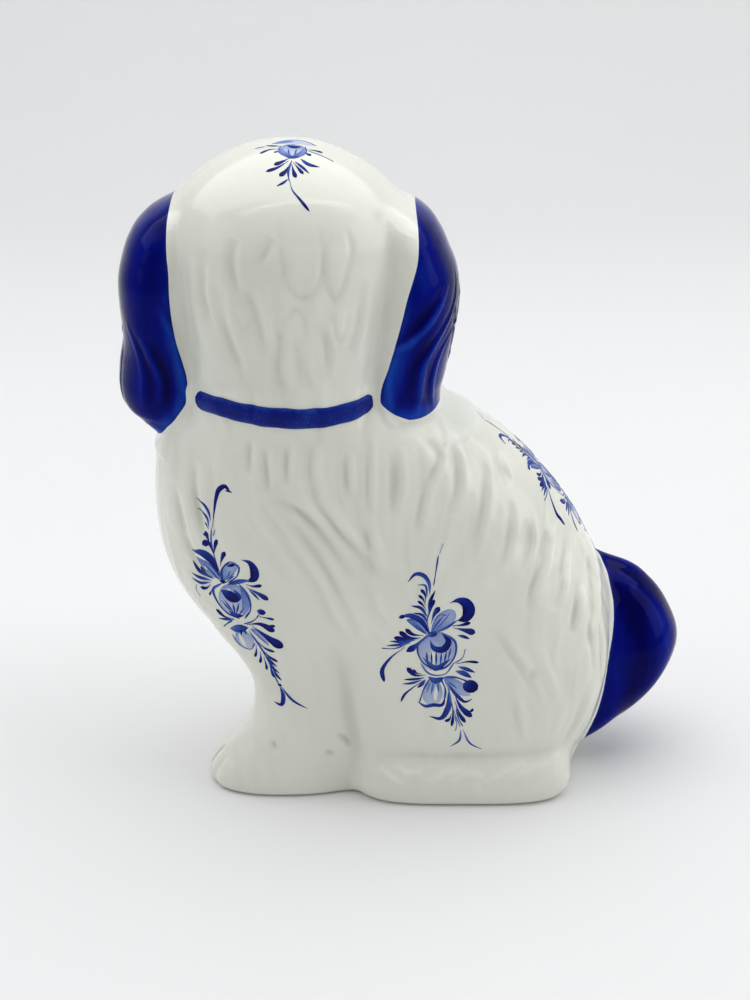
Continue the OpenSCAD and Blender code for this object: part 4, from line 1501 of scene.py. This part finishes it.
def collar_arc(skin, material, side, name):
    """A raised band across the neck between the ears. Its ends are rounded, and a little rough."""
    rng = np.random.default_rng(SEED + side)
    course, share = curve_points(COLLAR_COURSE, spacing=0.8)
    brush = flank_brush(skin, 0, 0, side)
    lines = np.linspace(-1, 1, 9)
    ragged = rng.uniform(0, 0.006, (2, len(lines))) + 0.022 * lines**4
    rows = []
    for k, line in enumerate(lines):
        at = ragged[0, k] + share * (1 - ragged[0, k] - ragged[1, k])
        middle = np.stack([np.interp(at, share, course[:, 0]), np.interp(at, share, course[:, 1])], axis=1)
        half = COLLAR_HALF * (0.9 + 0.1 * np.sin(at * math.pi)) + 0.12 * np.sin(at * 37 + k)
        rows.append(middle + np.stack([0 * half, line * half], axis=1))
    rows = np.stack(rows, axis=1)
    tones = np.clip(0.12 + 0.10 * np.abs(lines)[None] ** 3 + 0.03 * np.sin(share * 23)[:, None], 0, 1)
    brush.lay(rows, 0.35, 0.75, tones, depth=1.0)
    brush.finish(name, material, nodes=["collar"])


def make_locket(material):
    """A round locket with a raised rim, which lies against the throat under the collar."""
    low, high = node_box("locket")
    middle = (low + high) / 2
    radius = (high[2] - low[2]) / 2
    back, front = low[1] - 2, high[1]
    # share of the radius, and y, from the hollow in the front round the rim to the back
    profile = [
        (0.5, front - 1.1), (0.72, front - 1.7), (0.78, front - 1.9), (0.84, front - 0.7),
        (0.92, front - 0.3), (0.99, front - 1.2), (1, front - 2.6), (0.97, back),
    ]
    count = 64
    angle = np.linspace(0, 2 * math.pi, count, endpoint=False)
    rings = [
        np.column_stack([
            middle[0] + radius * share * np.cos(angle),
            np.full(count, y),
            middle[2] + radius * share * np.sin(angle),
        ])
        for share, y in profile
    ]
    poles = [[middle[0], front - 0.9, middle[2]], [middle[0], back, middle[2]]]
    tones = np.repeat([0.3 if share < 0.74 else 0.08 for share, _ in profile], count)
    faces = ring_faces(len(profile), count)[:, ::-1].tolist()
    front_pole = len(profile) * count
    last_ring = front_pole - count
    for k in range(count):
        follower = (k + 1) % count
        faces.append([front_pole, k, follower])
        faces.append([last_ring + k, front_pole + 1, last_ring + follower])
    make_object(
        "locket_glazed", np.concatenate([*rings, poles]), faces, material, ["locket"],
        extras={"tone": np.append(tones, [0.3, 0.3])},
    )


# ---------------------------------------------------------------- stage, light and camera

# metres from the middle of the figurine, degrees above it, degrees below level, and millimetres
CAMERA_DISTANCE = 0.85
CAMERA_ELEVATION = 22.0
CAMERA_PITCH = 23.12
CAMERA_LENS = 66.24

# place and size in metres, and power in watts
LIGHTS = {
    "ceiling": ((0.0, 0.28, 1.35), (3.8, 1.5), 26.5),
    "tube": ((0.1, -0.34, 1.2), (1.5, 0.03), 1.0),
    "window": ((-1.6, -0.8, 0.9), (1.1, 1.1), 2.5),
    "right_wall": ((1.5, -0.3, 0.7), (1.0, 1.0), 4.4),
}
LIGHT_AIM = (0, 0, 0.15)


def make_floor():
    """A pale sheet that runs back and up into the backdrop in one sweep."""
    half, depth, rise, bend = 3.0, 1.5, 2.4, 0.5
    turn = np.linspace(0, math.pi / 2, 16)
    sweep = [(depth - bend + bend * math.sin(a), bend - bend * math.cos(a)) for a in turn]
    profile = [(-half, 0.0), *sweep, (depth, rise)]
    points = [(x, y, z) for y, z in profile for x in (-half, half)]
    faces = [(2 * i, 2 * i + 1, 2 * i + 3, 2 * i + 2) for i in range(len(profile) - 1)]
    mesh = bpy.data.meshes.new("floor")
    mesh.from_pydata(points, [], faces)
    mesh.polygons.foreach_set("use_smooth", [True] * len(mesh.polygons))
    mesh.materials.append(pale_sheet())
    floor = bpy.data.objects.new("floor", mesh)
    bpy.context.scene.collection.objects.link(floor)


def soft_light(name, place, size, power):
    """A rectangular light that faces the figurine."""
    light = bpy.data.lights.new(name, "AREA")
    light.shape = "RECTANGLE"
    light.size, light.size_y = size
    light.energy = power
    obj = bpy.data.objects.new(name, light)
    obj.location = place
    obj.rotation_euler = (Vector(LIGHT_AIM) - Vector(place)).to_track_quat("-Z", "Y").to_euler()
    bpy.context.scene.collection.objects.link(obj)


def light_scene():
    for name, (place, size, power) in LIGHTS.items():
        soft_light(name, place, size, power)
    world = bpy.data.worlds.new("room")
    world.use_nodes = True
    background = world.node_tree.nodes["Background"]
    background.inputs["Color"].default_value = (0.97, 0.985, 1.0, 1)
    background.inputs["Strength"].default_value = 0.38
    bpy.context.scene.world = world


def place_camera():
    """Behind the head, a little above it, looking along +Y."""
    camera = bpy.data.cameras.new("camera")
    camera.lens = CAMERA_LENS
    camera.sensor_width = 36
    obj = bpy.data.objects.new("camera", camera)
    up = math.radians(CAMERA_ELEVATION)
    obj.location = (0, -CAMERA_DISTANCE * math.cos(up), CROWN_Z * MM / 2 + CAMERA_DISTANCE * math.sin(up))
    obj.rotation_euler = (math.radians(90 - CAMERA_PITCH), 0, 0)
    bpy.context.scene.collection.objects.link(obj)
    bpy.context.scene.camera = obj
    bpy.context.scene.view_settings.view_transform = "Standard"


# ---------------------------------------------------------------- build

CLAY_MATERIALS = {"white_glaze": white_glaze(), "cobalt_glaze": cobalt_glaze(), "biscuit": biscuit()}
PAINT = painted_cobalt()
SKIN = clay_pieces(build_fields(), CLAY_MATERIALS)
paint_flanks(SKIN, PAINT)
paint_crown(SKIN, PAINT)
paint_back(SKIN, PAINT)
paint_face(SKIN, PAINT)
collar_arc(SKIN, PAINT, -1, "collar_nape")
collar_arc(SKIN, PAINT, 1, "collar_throat")
make_locket(PAINT)
make_floor()
light_scene()
place_camera()

bpy.context.view_layer.update()
